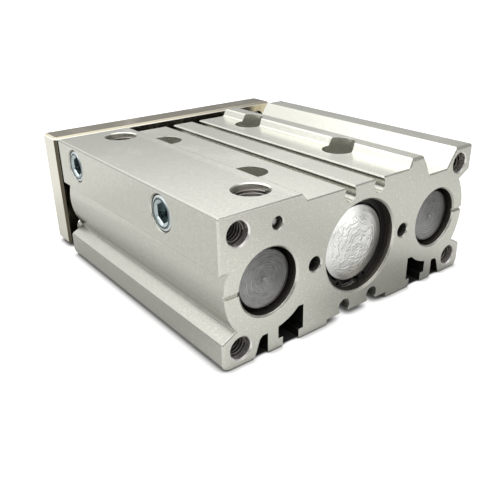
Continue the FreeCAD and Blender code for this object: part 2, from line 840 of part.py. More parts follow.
# ---------------------------------------------------------------- assembly
def make_parts():
    head_ring = head_cover_recess - ring_thickness
    parts = {
        "body": make_body(),
        "head_cover": make_head_cover(),
        "head_cover_gasket": make_gasket(head_cover_recess),
        "head_cover_retaining_ring": make_retaining_ring(head_ring),
        "rod_collar": make_rod_collar(),
        "rod_collar_gasket": make_gasket(collar_flange_start),
        "rod_collar_retaining_ring": make_retaining_ring(collar_flange_end),
        "rod_seal": make_rod_seal(),
        "piston": make_piston(),
        "piston_seal": make_piston_seal(),
        "piston_magnet": make_piston_magnet(),
        "rear_bumper": make_bumper(piston_pack_start, rod_rivet_diameter / 2),
        "front_bumper": make_bumper(piston_end, rod_radius + press_gap),
        "piston_rod": make_piston_rod(),
        "piston_rod_screw": socket_screw(piston_screw_diameter, piston_screw_head_diameter,
                                         piston_screw_head_height, piston_screw_socket,
                                         piston_screw_depth),
        "tooling_plate": make_tooling_plate(),
        "side_port_plug_rear": make_side_plug(rear_side_port_distance),
        "side_port_plug_front": make_side_plug(front_side_port_distance),
        "passage_ball_plug": make_ball_plug(),
    }
    for name, side in SIDES:
        parts["guide_rod_" + name] = make_guide_rod(side)
        parts["guide_rod_screw_" + name] = socket_screw(
            guide_screw_diameter, guide_screw_head_diameter, guide_screw_head_height,
            guide_screw_socket, guide_screw_depth, side * guide_x)
        parts["guide_bush_rear_" + name] = make_bush(side, bush_shoulder, rear_bush_end)
        parts["guide_bush_front_" + name] = make_bush(side, front_bush_start, front_bush_end)
        parts["felt_wiper_" + name] = make_felt(side)
        parts["felt_holder_" + name] = make_holder(side)
    return parts


def main():
    os.makedirs("parts", exist_ok=True)
    for name, shape in make_parts().items():
        shape.exportStep("parts/" + name + ".step")
        print(name, "solids", len(shape.Solids), "valid", shape.isValid(), "volume", round(shape.Volume, 1))


if __name__ == "__main__":
    main()
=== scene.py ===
import json
import math

import bmesh
import bpy
from bpy.props import FloatProperty, FloatVectorProperty, IntProperty, PointerProperty
from mathutils import Matrix, Vector


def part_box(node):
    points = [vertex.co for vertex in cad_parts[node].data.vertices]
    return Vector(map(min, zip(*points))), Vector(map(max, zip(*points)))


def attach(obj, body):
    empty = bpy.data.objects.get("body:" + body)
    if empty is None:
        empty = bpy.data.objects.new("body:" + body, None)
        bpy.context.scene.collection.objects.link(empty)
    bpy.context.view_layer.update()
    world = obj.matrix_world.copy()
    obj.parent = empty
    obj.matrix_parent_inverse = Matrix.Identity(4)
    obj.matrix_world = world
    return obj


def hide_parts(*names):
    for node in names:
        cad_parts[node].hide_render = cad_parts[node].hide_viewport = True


bl_info = {
    "name": "Guided Cylinder Finish",
    "version": (1, 0, 0),
    "blender": (4, 5, 0),
    "location": "3D View > Sidebar > Guided Cylinder",
    "description": "Dresses the guided cylinder: threads, cover, rods, plugs, screws and finishes",
    "category": "Object",
}

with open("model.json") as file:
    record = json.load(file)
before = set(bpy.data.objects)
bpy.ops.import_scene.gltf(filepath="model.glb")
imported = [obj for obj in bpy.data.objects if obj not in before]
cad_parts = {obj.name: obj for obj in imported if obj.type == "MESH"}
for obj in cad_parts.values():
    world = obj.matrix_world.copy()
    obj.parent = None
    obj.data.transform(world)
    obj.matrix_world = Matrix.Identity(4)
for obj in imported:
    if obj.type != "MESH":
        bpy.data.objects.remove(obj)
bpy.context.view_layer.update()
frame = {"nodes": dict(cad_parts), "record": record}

MM = 0.001
MOUNTS = {mount["name"]: mount for mount in frame["record"]["mounts"]}
BODY_LOW, BODY_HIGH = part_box("body")
PLATE_LOW, PLATE_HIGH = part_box("tooling_plate")
GUIDE_X = sum(corner.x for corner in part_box("guide_rod_right")) / 2

TO_FRONT = Matrix.Rotation(math.radians(-90), 4, "X")    # turns a piece built along +Z to +Y
TO_RIGHT = Matrix.Rotation(math.radians(90), 4, "Y")     # … and to +X
FINE_ROUND, PLAIN_ROUND = 96, 48                         # points around large and small pieces


def spacing(mount):
    """Distances between the holes of a rectangular pattern, along its two directions."""
    dims = MOUNTS[mount]["dims"]
    return dims["spacing_x_mm"] * MM, dims["spacing_y_mm"] * MM


# ---------------------------------------------------------------- sizes and colours
def length_property(name, description, default, **limits):
    return FloatProperty(name=name, description=description, default=default,
                         subtype="DISTANCE", unit="LENGTH", **limits)


def level_property(name, description, default, **settings):
    return FloatProperty(name=name, description=description, default=default, min=0.0, **settings)


def colour_property(name, description, default):
    return FloatVectorProperty(name=name, description=description, default=default, size=3,
                               min=0.0, max=1.0, subtype="COLOR")


class ThreadSizes(bpy.types.PropertyGroup):
    """Tapped holes and air ports"""
    tap_pitch: length_property("Tap Pitch", "Pitch of the M6 threads", 1.0 * MM, min=0.2 * MM)
    tap_depth: length_property("Rear Tap Depth", "Threaded depth of the four rear holes", 12.4 * MM)
    foot_depth: length_property("Foot Tap Depth", "Threaded depth of the holes in the underside", 11.4 * MM)
    plate_margin: length_property("Plate Tap Margin", "Plate left without thread", 0.4 * MM)
    port_pitch: length_property("Port Pitch", "Pitch of the air port threads", 0.907 * MM, min=0.2 * MM)
    port_depth: length_property("Port Depth", "Threaded depth of the air ports", 7.0 * MM)
    crest_share: FloatProperty(
        name="Crest Height", description="Height of a thread over its pitch", default=0.54,
        min=0.1, max=0.9, subtype="FACTOR")
    steps: IntProperty(
        name="Steps per Turn", description="Segments in one turn of a thread", default=28, min=8)


class CoverSizes(bpy.types.PropertyGroup):
    """Head cover of the piston bore"""
    boss_radius: length_property("Boss Radius", "Outer boss of the cover", 10.8 * MM)
    boss_height: length_property("Boss Height", "Boss above the flange of the cover", 3.2 * MM)
    crown: length_property("Crown", "How far the middle of the boss stands out", 1.8 * MM)
    flange_thickness: length_property("Flange Thickness", "Flange that seals in the bore", 3.6 * MM)
    spigot_radius: length_property("Spigot Radius", "Inner end of the cover", 10.0 * MM)
    ripple: length_property("Turning Ripple", "Height of the coarse turning marks", 0.02 * MM)


class RodSizes(bpy.types.PropertyGroup):
    """Guide rod ends"""
    chamfer: length_property("End Chamfer", "Rounded chamfer of the rod ends", 0.6 * MM)
    centre_mark: length_property("Centre Mark", "Radius of the centre drilled in the rod end", 0.55 * MM)


class PlugSizes(bpy.types.PropertyGroup):
    """Side port plugs"""
    bevel: length_property("Edge Bevel", "Bevel around the face of a plug", 0.5 * MM)
    sink_radius: length_property("Countersink", "Radius of the countersink around the socket", 3.35 * MM)
    socket: length_property("Socket", "Hexagon across flats", 5.0 * MM)
    socket_depth: length_property("Socket Depth", "Depth of the hexagon", 3.5 * MM)


class ScrewSizes(bpy.types.PropertyGroup):
    """Socket screws of the tooling plate"""
    guide_socket: length_property("Guide Screw Socket", "Hexagon of the outer screws", 5.0 * MM)
    guide_shank: length_property("Guide Screw Shank", "Shank diameter of the outer screws", 7.98 * MM)
    piston_socket: length_property("Piston Screw Socket", "Hexagon of the middle screw", 4.0 * MM)
    piston_shank: length_property("Piston Screw Shank", "Shank diameter of the middle screw", 5.98 * MM)
    head_height: length_property("Head Height", "Height of the screw heads", 5.0 * MM)
    socket_depth: length_property("Socket Depth", "Depth of the hexagons", 3.0 * MM)
    rounding: length_property("Head Rounding", "Rounded edge of the heads", 0.5 * MM)


class FinishColours(bpy.types.PropertyGroup):
    """Colours of the surfaces"""
    body: colour_property("Body", "Clear anodised extrusion", (0.68, 0.68, 0.61))
    # Bore colour: hard anodised tone, made darker still as painted shade inside the bores.
    bore: colour_property("Bore", "Hard anodised bores", (0.165, 0.150, 0.130))
    # Thread colour kept dark: painted shade of the holes.
    thread: colour_property("Threads", "Freshly cut threads of the body", (0.22, 0.212, 0.198))
    cover: colour_property("Covers", "Turned covers of the bore", (0.98, 0.98, 0.95))
    plate: colour_property("Tooling Plate", "Satin nickel plate", (0.78, 0.745, 0.67))
    guide_rod: colour_property("Guide Rods", "Ground steel of the rods", (0.19, 0.19, 0.186))
    chrome: colour_property("Piston Rod", "Hard chrome", (0.72, 0.72, 0.73))
    zinc: colour_property("Plugs", "Blue-white zinc", (0.62, 0.70, 0.72))
    screw: colour_property("Screws", "Nickel plated screws", (0.50, 0.49, 0.47))
    ball: colour_property("Ball", "Bearing steel", (0.42, 0.42, 0.42))
    ring: colour_property("Retaining Rings", "Black phosphated spring steel", (0.024, 0.023, 0.023))
    bronze: colour_property("Bushes", "Oil-filled bronze", (0.46, 0.31, 0.15))
    felt: colour_property("Felt", "Oiled wool felt", (0.62, 0.57, 0.46))
    rubber: colour_property("Rubber", "Nitrile rubber", (0.012, 0.012, 0.013))
    urethane: colour_property("Bumpers", "Amber urethane", (0.42, 0.20, 0.05))
    magnet: colour_property("Magnet", "Plastic-bonded magnet", (0.045, 0.045, 0.05))
    resin: colour_property("Felt Holders", "Moulded black resin", (0.022, 0.022, 0.022))


class StageSettings(bpy.types.PropertyGroup):
    """Camera, floor and light"""
    camera_place: FloatVectorProperty(
        name="Camera Location", description="Where the camera stands", size=3,
        default=(-0.11255, -0.09693, 0.06748), subtype="TRANSLATION", unit="LENGTH")
    camera_turn: FloatVectorProperty(
        name="Camera Rotation", description="Turn of the camera", size=3,
        default=(math.radians(64.942), math.radians(0.8555), math.radians(-38.027)),
        subtype="EULER", unit="ROTATION")
    lens: FloatProperty(
        name="Lens", description="Focal length in millimetres on a 36 mm sensor", default=43.04,
        min=10.0)
    key_power: level_property("Softbox", "Power of the softbox above, in watts", 1.0, unit="POWER")
    wall_level: level_property("Bright Wall", "Large bright wall behind on the left", 1.12)
    core_level: level_property("Wall Middle", "What the middle of the bright wall adds", 0.80)
    fill_level: level_property("Fill Card", "What a card behind the camera on the right adds", 1.05)
    ceiling_level: level_property("Ceiling Light", "What the light straight above adds", 0.9)
    room_level: level_property("Room", "Level of the rest of the room", 0.28)
    floor_glow: level_property("Floor Glow", "What keeps the open floor white to the camera", 1.0)
    floor_gloss: level_property("Floor in Gloss", "Share of that glow that shiny surfaces mirror",
                                0.16, max=1.0, subtype="FACTOR")
    contact_reach: length_property("Contact Shadow", "How far the contact shadow reaches", 3.2 * MM)
    floor_size: length_property("Floor Size", "Side of the floor", 6.0)


# ---------------------------------------------------------------- node helpers
def add_node(tree, kind, inputs=None, **settings):
    """Add a node. Its own settings are given by name, its sockets in a dict by name or index:
    a socket there is linked, and anything else becomes the default value."""
    node = tree.nodes.new(kind)
    for name, value in settings.items():
        setattr(node, name, value)
    for key, value in (inputs or {}).items():
        socket = node.inputs[key]
        if isinstance(value, bpy.types.NodeSocket):
            tree.links.new(value, socket)
        else:
            socket.default_value = value
    return node


def calculate(tree, operation, *values, clamp=False):
    """Math node over values or sockets."""
    node = add_node(tree, "ShaderNodeMath", dict(enumerate(values)), operation=operation,
                    use_clamp=clamp)
    return node.outputs[0]


def add(tree, *values):
    total = values[0]
    for value in values[1:]:
        total = calculate(tree, "ADD", total, value)
    return total


def multiply(tree, *values):
    product = values[0]
    for value in values[1:]:
        product = calculate(tree, "MULTIPLY", product, value)
    return product


def subtract(tree, first, second):
    return calculate(tree, "SUBTRACT", first, second)


def divide(tree, first, second):
    return calculate(tree, "DIVIDE", first, second)


def greatest(tree, first, second):
    return calculate(tree, "MAXIMUM", first, second)


def absolute(tree, value):
    return calculate(tree, "ABSOLUTE", value)


def vector_math(tree, operation, *values):
    node = add_node(tree, "ShaderNodeVectorMath", dict(enumerate(values)), operation=operation)
    return node.outputs["Value" if operation in {"LENGTH", "DOT_PRODUCT"} else "Vector"]


def distance(tree, first, second):
    """Length of a flat offset, from its two parts."""
    offset = add_node(tree, "ShaderNodeCombineXYZ", {"X": first, "Y": second}).outputs[0]
    return vector_math(tree, "LENGTH", offset)


def remap(tree, value, low, high, to_low=0.0, to_high=1.0, smooth=True):
    """Map Range node, smooth unless told otherwise."""
    node = add_node(tree, "ShaderNodeMapRange", {
        "Value": value, "From Min": low, "From Max": high, "To Min": to_low, "To Max": to_high,
    }, interpolation_type="SMOOTHSTEP" if smooth else "LINEAR")
    return node.outputs["Result"]


def within(tree, *limits):
    """Mask that is 1 where each value has passed from its outer to its inner limit."""
    return multiply(tree, *(remap(tree, value, outer, inner) for value, outer, inner in limits))


def mix_colour(tree, factor, first, second, blend="MIX"):
    return add_node(tree, "ShaderNodeMix", {0: factor, 6: first, 7: second},
                    data_type="RGBA", blend_type=blend).outputs[2]


def object_place(tree):
    return tree.nodes.new("ShaderNodeTexCoord").outputs["Object"]


def position(tree):
    """Object coordinates, split."""
    return add_node(tree, "ShaderNodeSeparateXYZ", {0: object_place(tree)}).outputs


def facing(tree):
    """True normal of the surface, split."""
    normal = tree.nodes.new("ShaderNodeNewGeometry").outputs["True Normal"]
    return add_node(tree, "ShaderNodeSeparateXYZ", {0: normal}).outputs


def noise(tree, size, detail, roughness=0.5):
    """Noise over the object, its features of a given size."""
    return add_node(tree, "ShaderNodeTexNoise", {
        "Vector": object_place(tree), "Scale": divide(tree, 1.0, size), "Detail": detail,
        "Roughness": roughness}).outputs["Fac"]


FLOAT, VECTOR = "NodeSocketFloat", "NodeSocketVector"
INTEGER, GEOMETRY = "NodeSocketInt", "NodeSocketGeometry"


def new_group(name, kind, inputs, outputs):
    """Node group with named sockets: inputs are (name, type, default), outputs (name, type)."""
    tree = bpy.data.node_groups.new(name, kind)
    for label, socket_type, default in inputs:
        socket = tree.interface.new_socket(label, in_out="INPUT", socket_type=socket_type)
        if default is not None:
            socket.default_value = default
    for label, socket_type in outputs:
        tree.interface.new_socket(label, in_out="OUTPUT", socket_type=socket_type)
    return tree, tree.nodes.new("NodeGroupInput").outputs, tree.nodes.new("NodeGroupOutput")


def put_out(tree, leave, results):
    for name, socket in results.items():
        tree.links.new(socket, leave.inputs[name])


# ---------------------------------------------------------------- shader groups
def build_edge_wear_and_highlight():
    """Rounded normals along edges, and a mask of edges made lighter by wear and by a painted highlight."""
    tree, given, leave = new_group(
        "Edge Wear", "ShaderNodeTree",
        [("Width", FLOAT, 0.25 * MM), ("Breakup", FLOAT, 0.5), ("Breakup Size", FLOAT, 3.0 * MM)],
        [("Wear", FLOAT), ("Normal", VECTOR)])
    rounded = add_node(tree, "ShaderNodeBevel", {"Radius": given["Width"]}, samples=6).outputs[0]
    surface = tree.nodes.new("ShaderNodeNewGeometry").outputs["Normal"]
    edge = remap(tree, vector_math(tree, "DOT_PRODUCT", rounded, surface), 0.995, 0.90)
    patches = remap(tree, noise(tree, given["Breakup Size"], 3.0), 0.35, 0.65)
    kept = subtract(tree, 1.0, multiply(tree, patches, given["Breakup"]))
    wear = calculate(tree, "MULTIPLY", edge, kept, clamp=True)
    put_out(tree, leave, {"Wear": wear, "Normal": rounded})


def build_recess_shade(name="Recess Shade", own_shape=False):
    """How deep a point lies in a hole, slot or gap, of its own piece alone or of any, as a mask for painted
    shade.
    """
    tree, given, leave = new_group(
        name, "ShaderNodeTree",
        [("Reach", FLOAT, 6.0 * MM), ("Start", FLOAT, 0.45), ("Full", FLOAT, 0.05)],
        [("Shade", FLOAT)])
    openness = add_node(tree, "ShaderNodeAmbientOcclusion", {"Distance": given["Reach"]},
                        samples=6, only_local=own_shape).outputs["AO"]
    put_out(tree, leave, {"Shade": remap(tree, openness, given["Start"], given["Full"])})


def build_own_recess_shade():
    build_recess_shade("Own Recess Shade", own_shape=True)


def build_long_grain():
    """Streaks that are stretched by a size along each axis: die lines, grinding and fibres."""
    tree, given, leave = new_group(
        "Long Grain", "ShaderNodeTree",
        [("Size", VECTOR, (0.3 * MM, 30 * MM, 0.3 * MM)), ("Detail", FLOAT, 3.0)],
        [("Streak", FLOAT)])
    stretched = vector_math(tree, "DIVIDE", object_place(tree), given["Size"])
    streak = add_node(tree, "ShaderNodeTexNoise", {
        "Vector": stretched, "Scale": 1.0, "Detail": given["Detail"], "Roughness": 0.6})
    put_out(tree, leave, {"Streak": streak.outputs["Fac"]})


def build_turned_rings():
    """Rings of a turning tool about a line along Y, the same on both sides of X = 0."""
    tree, given, leave = new_group(
        "Turned Rings", "ShaderNodeTree",
        [("Centre X", FLOAT, 0.0), ("Pitch", FLOAT, 0.4 * MM), ("Wander", FLOAT, 0.3),
         ("Patch Size", FLOAT, 1.5 * MM)],
        [("Ring", FLOAT), ("Radius", FLOAT), ("Patch", FLOAT), ("Brushed", FLOAT)])
    place = position(tree)
    across = subtract(tree, absolute(tree, place["X"]), given["Centre X"])
    flat = add_node(tree, "ShaderNodeCombineXYZ", {"X": across, "Z": place["Z"]}).outputs[0]
    radius = vector_math(tree, "LENGTH", flat)
    pitches = divide(tree, radius, given["Pitch"])
    patch = noise(tree, given["Patch Size"], 2.0)
    turns = add(tree, pitches, multiply(tree, patch, given["Wander"]))
    around = vector_math(tree, "MULTIPLY", vector_math(tree, "NORMALIZE", flat), (2.5, 2.5, 2.5))
    outward = add_node(tree, "ShaderNodeCombineXYZ", {"Y": pitches}).outputs[0]
    brushed = add_node(tree, "ShaderNodeTexNoise", {
        "Vector": vector_math(tree, "ADD", around, outward), "Scale": 1.0, "Detail": 3.0})
    put_out(tree, leave, {
        "Ring": calculate(tree, "SINE", multiply(tree, turns, 2 * math.pi)), "Radius": radius,
        "Patch": patch, "Brushed": brushed.outputs["Fac"]})


def build_speckle():
    """Fine glittering grain of a blasted and anodised or plated surface."""
    tree, given, leave = new_group(
        "Speckle", "ShaderNodeTree", [("Grain Size", FLOAT, 0.25 * MM)],
        [("Grain", FLOAT), ("Glint", FLOAT)])
    cells = add_node(tree, "ShaderNodeTexVoronoi", {
        "Vector": object_place(tree), "Scale": divide(tree, 1.0, given["Grain Size"])})
    pick = add_node(tree, "ShaderNodeSeparateColor", {0: cells.outputs["Color"]}).outputs[0]
    put_out(tree, leave, {"Grain": noise(tree, given["Grain Size"], 2.0),
                          "Glint": remap(tree, pick, 0.86, 1.0)})


def build_handling():
    """Broad smudges of handling and dust."""
    tree, given, leave = new_group(
        "Handling", "ShaderNodeTree", [("Size", FLOAT, 18 * MM), ("Cover", FLOAT, 0.5)],
        [("Smudge", FLOAT)])
    low = subtract(tree, 0.72, multiply(tree, given["Cover"], 0.4))
    smudge = remap(tree, noise(tree, given["Size"], 4.0, 0.55), low, add(tree, low, 0.2))
    put_out(tree, leave, {"Smudge": smudge})


# ---------------------------------------------------------------- materials
class Finish:
    """One material under construction: a Principled BSDF whose colour, roughness and relief are
    built up a layer at a time."""

    def __init__(self, name, colour, roughness, metallic=1.0):
        self.material = bpy.data.materials.new(name)
        self.material.use_nodes = True
        self.tree = self.material.node_tree
        self.shader = self.tree.nodes["Principled BSDF"]
        self.shader.inputs["Metallic"].default_value = metallic
        self.colour = self.material.diffuse_color = (*colour, 1.0)
        self.roughness = roughness
        self.height = None
        self.normal = None

    def group(self, name, inputs):
        return add_node(self.tree, "ShaderNodeGroup", inputs,
                        node_tree=bpy.data.node_groups[name]).outputs

    def speckle(self, size):
        return self.group("Speckle", {"Grain Size": size})

    def smudges(self, size, cover=0.5):
        return self.group("Handling", {"Size": size, "Cover": cover})["Smudge"]

    def streaks(self, *size, detail=3.0):
        return self.group("Long Grain", {"Size": size, "Detail": detail})["Streak"]

    def rings(self, pitch, wander, patch_size, centre=0.0):
        return self.group("Turned Rings", {"Centre X": centre, "Pitch": pitch, "Wander": wander,
                                           "Patch Size": patch_size})

    def tint(self, mask, colour, amount=1.0):
        """Lay a colour over the surface where the mask is 1."""
        factor = multiply(self.tree, mask, amount)
        self.colour = mix_colour(self.tree, factor, self.colour, (*colour, 1.0))

    def shade_by(self, value, low, high):
        """Multiply the colour by low where the value is 0 and by high where it is 1."""
        grey = remap(self.tree, value, 0.0, 1.0, low, high, smooth=False)
        shade = add_node(self.tree, "ShaderNodeCombineColor", {0: grey, 1: grey, 2: grey})
        self.colour = mix_colour(self.tree, 1.0, self.colour, shade.outputs[0], "MULTIPLY")

    def shade_where(self, shade, *masks):
        """Multiply the colour by a shade where every mask is 1."""
        self.shade_by(multiply(self.tree, *masks), 1.0, shade)

    def roughen(self, value, change):
        """Add a change to the roughness where the value is 1."""
        step = multiply(self.tree, value, change)
        self.roughness = calculate(self.tree, "ADD", self.roughness, step, clamp=True)

    def raise_by(self, value, height):
        """Add relief of a height in metres where the value is 1."""
        step = multiply(self.tree, value, height)
        self.height = step if self.height is None else add(self.tree, self.height, step)

    # Lighter edges: partly wear of handling, partly a painted highlight line along the edges.
    def wear_and_highlight_edges(self, width, colour, amount, breakup=0.5):
        edges = self.group("Edge Wear", {"Width": width, "Breakup": breakup})
        self.normal = edges["Normal"]
        self.tint(edges["Wear"], colour, amount)

    # Painted shade: the colour is tinted darker deep in holes, slots and gaps.
    def paint_recess_shade(self, colour, reach=6 * MM, start=0.45, full=0.05, amount=1.0,
                        group="Recess Shade"):
        shade = self.group(group, {"Reach": reach, "Start": start, "Full": full})["Shade"]
        self.tint(shade, colour, amount)

    def finish(self):
        normal = self.normal
        if self.height is not None:
            bump = add_node(self.tree, "ShaderNodeBump",
                            {"Strength": 1.0, "Distance": 1.0, "Height": self.height})
            if normal is not None:
                self.tree.links.new(normal, bump.inputs["Normal"])
            normal = bump.outputs["Normal"]
        for name, value in (("Base Color", self.colour), ("Roughness", self.roughness),
                            ("Normal", normal)):
            if isinstance(value, bpy.types.NodeSocket):
                self.tree.links.new(value, self.shader.inputs[name])
            elif value is not None:
                self.shader.inputs[name].default_value = value


def bore_mask(look):
    """Walls of the piston bore and of the two guide bores, behind their mouths."""
    tree, mask = look.tree, 0.0
    for centre, reach in ((0.0, 13.5 * MM), (GUIDE_X, 9.2 * MM)):    # just past the bore's wall
        radius = look.group("Turned Rings", {"Centre X": centre})["Radius"]
        mask = greatest(tree, mask, calculate(tree, "LESS_THAN", radius, reach))
    mouth = BODY_LOW.y + 0.45 * MM
    deep = remap(tree, position(tree)["Y"], mouth, mouth + 0.25 * MM)
    return multiply(tree, mask, deep)


def body_shade_and_light_zones(tree):
    """Masks of the body's regions by name, alike on both sides of X = 0, where painted shade and light go.
    """
    place, normal = position(tree), facing(tree)
    along, height = place["Y"], place["Z"]
    across, end_face = absolute(tree, place["X"]), absolute(tree, normal["Y"])
    upward = remap(tree, normal["Z"], 0.85, 0.95)
    hole_x, hole_y = spacing("top_mounting_holes")
    hole_middle = MOUNTS["top_mounting_holes"]["pos_m"][1]
    from_hole = distance(
        tree, subtract(tree, across, hole_x / 2),
        subtract(tree, absolute(tree, subtract(tree, along, hole_middle)), hole_y / 2))
    tap_x, tap_z = spacing("rear_tapped_holes")
    from_tap = distance(tree, subtract(tree, across, tap_x / 2),
                        subtract(tree, absolute(tree, height), tap_z / 2))
    channel_end = (across, GUIDE_X + 12 * MM, GUIDE_X + 11 * MM)
    channel_bottom = (height, 6 * MM, 7 * MM)
    return {
        "upward": upward,
        "sloped": remap(tree, absolute(tree, multiply(tree, normal["X"], normal["Z"])), 0.20, 0.40),
        "far end": remap(tree, along, 5 * MM, 80 * MM),
        "flank": within(tree, (across, GUIDE_X + 4 * MM, GUIDE_X + 9 * MM),
                        (height, 5 * MM, -7 * MM), (end_face, 0.6, 0.3)),
        "rail": within(tree, (across, GUIDE_X + 7 * MM, GUIDE_X + 8 * MM),
                       (height, -6 * MM, -7 * MM)),
        "rim": within(tree, (across, GUIDE_X + 12 * MM, GUIDE_X + 12.5 * MM),
                      (height, 7 * MM, 8 * MM)),
        "switch grooves": within(tree, (across, 9 * MM, 8 * MM), (height, 13 * MM, 14 * MM)),
        "channel": within(tree, (across, 11 * MM, 12 * MM), channel_end, channel_bottom),
        "far slope": within(tree, (across, GUIDE_X - 7 * MM, GUIDE_X - 5 * MM), channel_end,
                            channel_bottom),
        "side relief": within(tree, (across, GUIDE_X + 6.5 * MM, GUIDE_X + 7.5 * MM),
                              (height, -6 * MM, -5 * MM), (height, 2 * MM, 1 * MM)),
        "pockets": within(tree, (from_hole, 5.2 * MM, 5.1 * MM), (upward, 1.0, 0.0),
                          (height, 8 * MM, 9 * MM)),
        "port block": within(tree, (across, 24 * MM, 26 * MM), (upward, 0.0, 1.0),
                             (height, 16 * MM, 17 * MM)),
        "tap mouths": within(tree, (from_tap, 3.5 * MM, 3.45 * MM), (along, 2.4 * MM, 1.6 * MM),
                             (end_face, 0.95, 0.85)),
        "slots": within(tree, (across, GUIDE_X - 12.0 * MM, GUIDE_X - 11.6 * MM),
                        (across, GUIDE_X + 5.5 * MM, GUIDE_X + 5.1 * MM),
                        (height, BODY_LOW.z + 0.1 * MM, BODY_LOW.z + 0.5 * MM),
                        (height, -8.9 * MM, -9.3 * MM), (end_face, 0.6, 0.4)),
    }


def make_body_aluminium(colours):
    look = Finish("body_aluminium", colours.body, 0.24, metallic=0.85)
    tree, zones = look.tree, body_shade_and_light_zones(look.tree)
    lines = look.streaks(0.35 * MM, 60 * MM, 0.35 * MM)
    grain = look.speckle(0.45 * MM)
    look.shade_by(lines, 0.965, 1.035)
    look.shade_by(grain["Grain"], 0.84, 1.16)
    look.shade_by(grain["Glint"], 1.0, 1.10)
    look.roughen(look.smudges(22 * MM), 0.05)
    # Bore walls: hard anodised tone, darkened as painted shade inside the bores.
    look.tint(bore_mask(look), colours.bore)
    # Painted shade: the lower flank, the counterbore walls and the port block tops made darker.
    for zone, shade in (("flank", 0.72), ("pockets", 0.86), ("port block", 0.91)):
        look.shade_where(shade, zones[zone])
    # Painted shade: sloped faces of the rail, the side rim, the switch groove lips and the V channel made
    # darker.
    for zone, shade in (("rail", 0.58), ("rim", 0.42), ("switch grooves", 0.48),
                        ("channel", 0.84), ("far slope", 0.84)):
        look.shade_where(shade, zones["sloped"], zones[zone])
    # Painted shade and light: V channel slopes darker towards the plate end, top faces lighter at the rear
    # end and darker towards the plate end.
    look.shade_where(0.82, zones["sloped"], zones["channel"], zones["far end"])
    look.shade_by(multiply(tree, zones["upward"], zones["far end"]), 1.05, 0.88)
    # Painted shade in the body's own recesses, partly spared on the switch grooves, the flank, the tap
    # mouths and the side relief.
    half_spared = multiply(tree, greatest(tree, zones["switch grooves"], zones["flank"]), 0.6)
    relief_spared = multiply(tree, zones["side relief"], 0.8)
    spared = greatest(tree, half_spared, greatest(tree, zones["tap mouths"], relief_spared))
    look.paint_recess_shade((0.03, 0.03, 0.03), reach=7 * MM, group="Own Recess Shade",
                         amount=subtract(tree, 1.0, spared))
    # Painted highlight: the walls just inside the mouths of the rear tapped holes tinted near white.
    look.tint(zones["tap mouths"], (0.95, 0.92, 0.89))
    # Painted shade: the walls inside the T-slots and foot grooves tinted near black.
    look.tint(zones["slots"], (0.034, 0.036, 0.031), 0.93)
    # Lighter edges: wear, and a painted highlight along the body's edges.
    look.wear_and_highlight_edges(0.18 * MM, (0.95, 0.95, 0.93), 0.5, breakup=0.35)
    look.raise_by(lines, 0.0035 * MM)
    look.raise_by(grain["Grain"], 0.009 * MM)
    look.finish()


def make_cover_aluminium(colours):
    """Turned metal, its face broken up by coarse marks, painted shade to the right, below and on the
    flange.
    """
    look = Finish("cover_aluminium", colours.cover, 0.26, metallic=0.75)
    tree, place = look.tree, position(look.tree)
    fine = look.rings(0.28 * MM, 1.2, 2.2 * MM)
    coarse = look.rings(1.6 * MM, 3.2, 2.1 * MM)
    off_middle = distance(tree, add(tree, place["X"], 1.6 * MM), place["Z"])
    marked = remap(tree, off_middle, 9.4 * MM, 6.4 * MM)
    painted_shade_lean = subtract(tree, multiply(tree, place["X"], 0.88), multiply(tree, place["Z"], 0.42))
    look.shade_by(coarse["Patch"], 0.94, 1.06)
    # Painted shade: darker to the right and below.
    look.shade_by(remap(tree, painted_shade_lean, 3.5 * MM, 10.6 * MM), 1.0, 0.50)
    # Painted shade: the flange beyond the boss tinted near black.
    look.tint(remap(tree, coarse["Radius"], 10.7 * MM, 10.85 * MM), (0.03, 0.03, 0.032))
    look.raise_by(fine["Ring"], 0.002 * MM)
    look.raise_by(multiply(tree, marked, coarse["Patch"]), 0.40 * MM)
    look.raise_by(multiply(tree, marked, coarse["Ring"]), 0.05 * MM)
    look.wear_and_highlight_edges(0.15 * MM, (0.95, 0.95, 0.94), 0.15)
    look.finish()


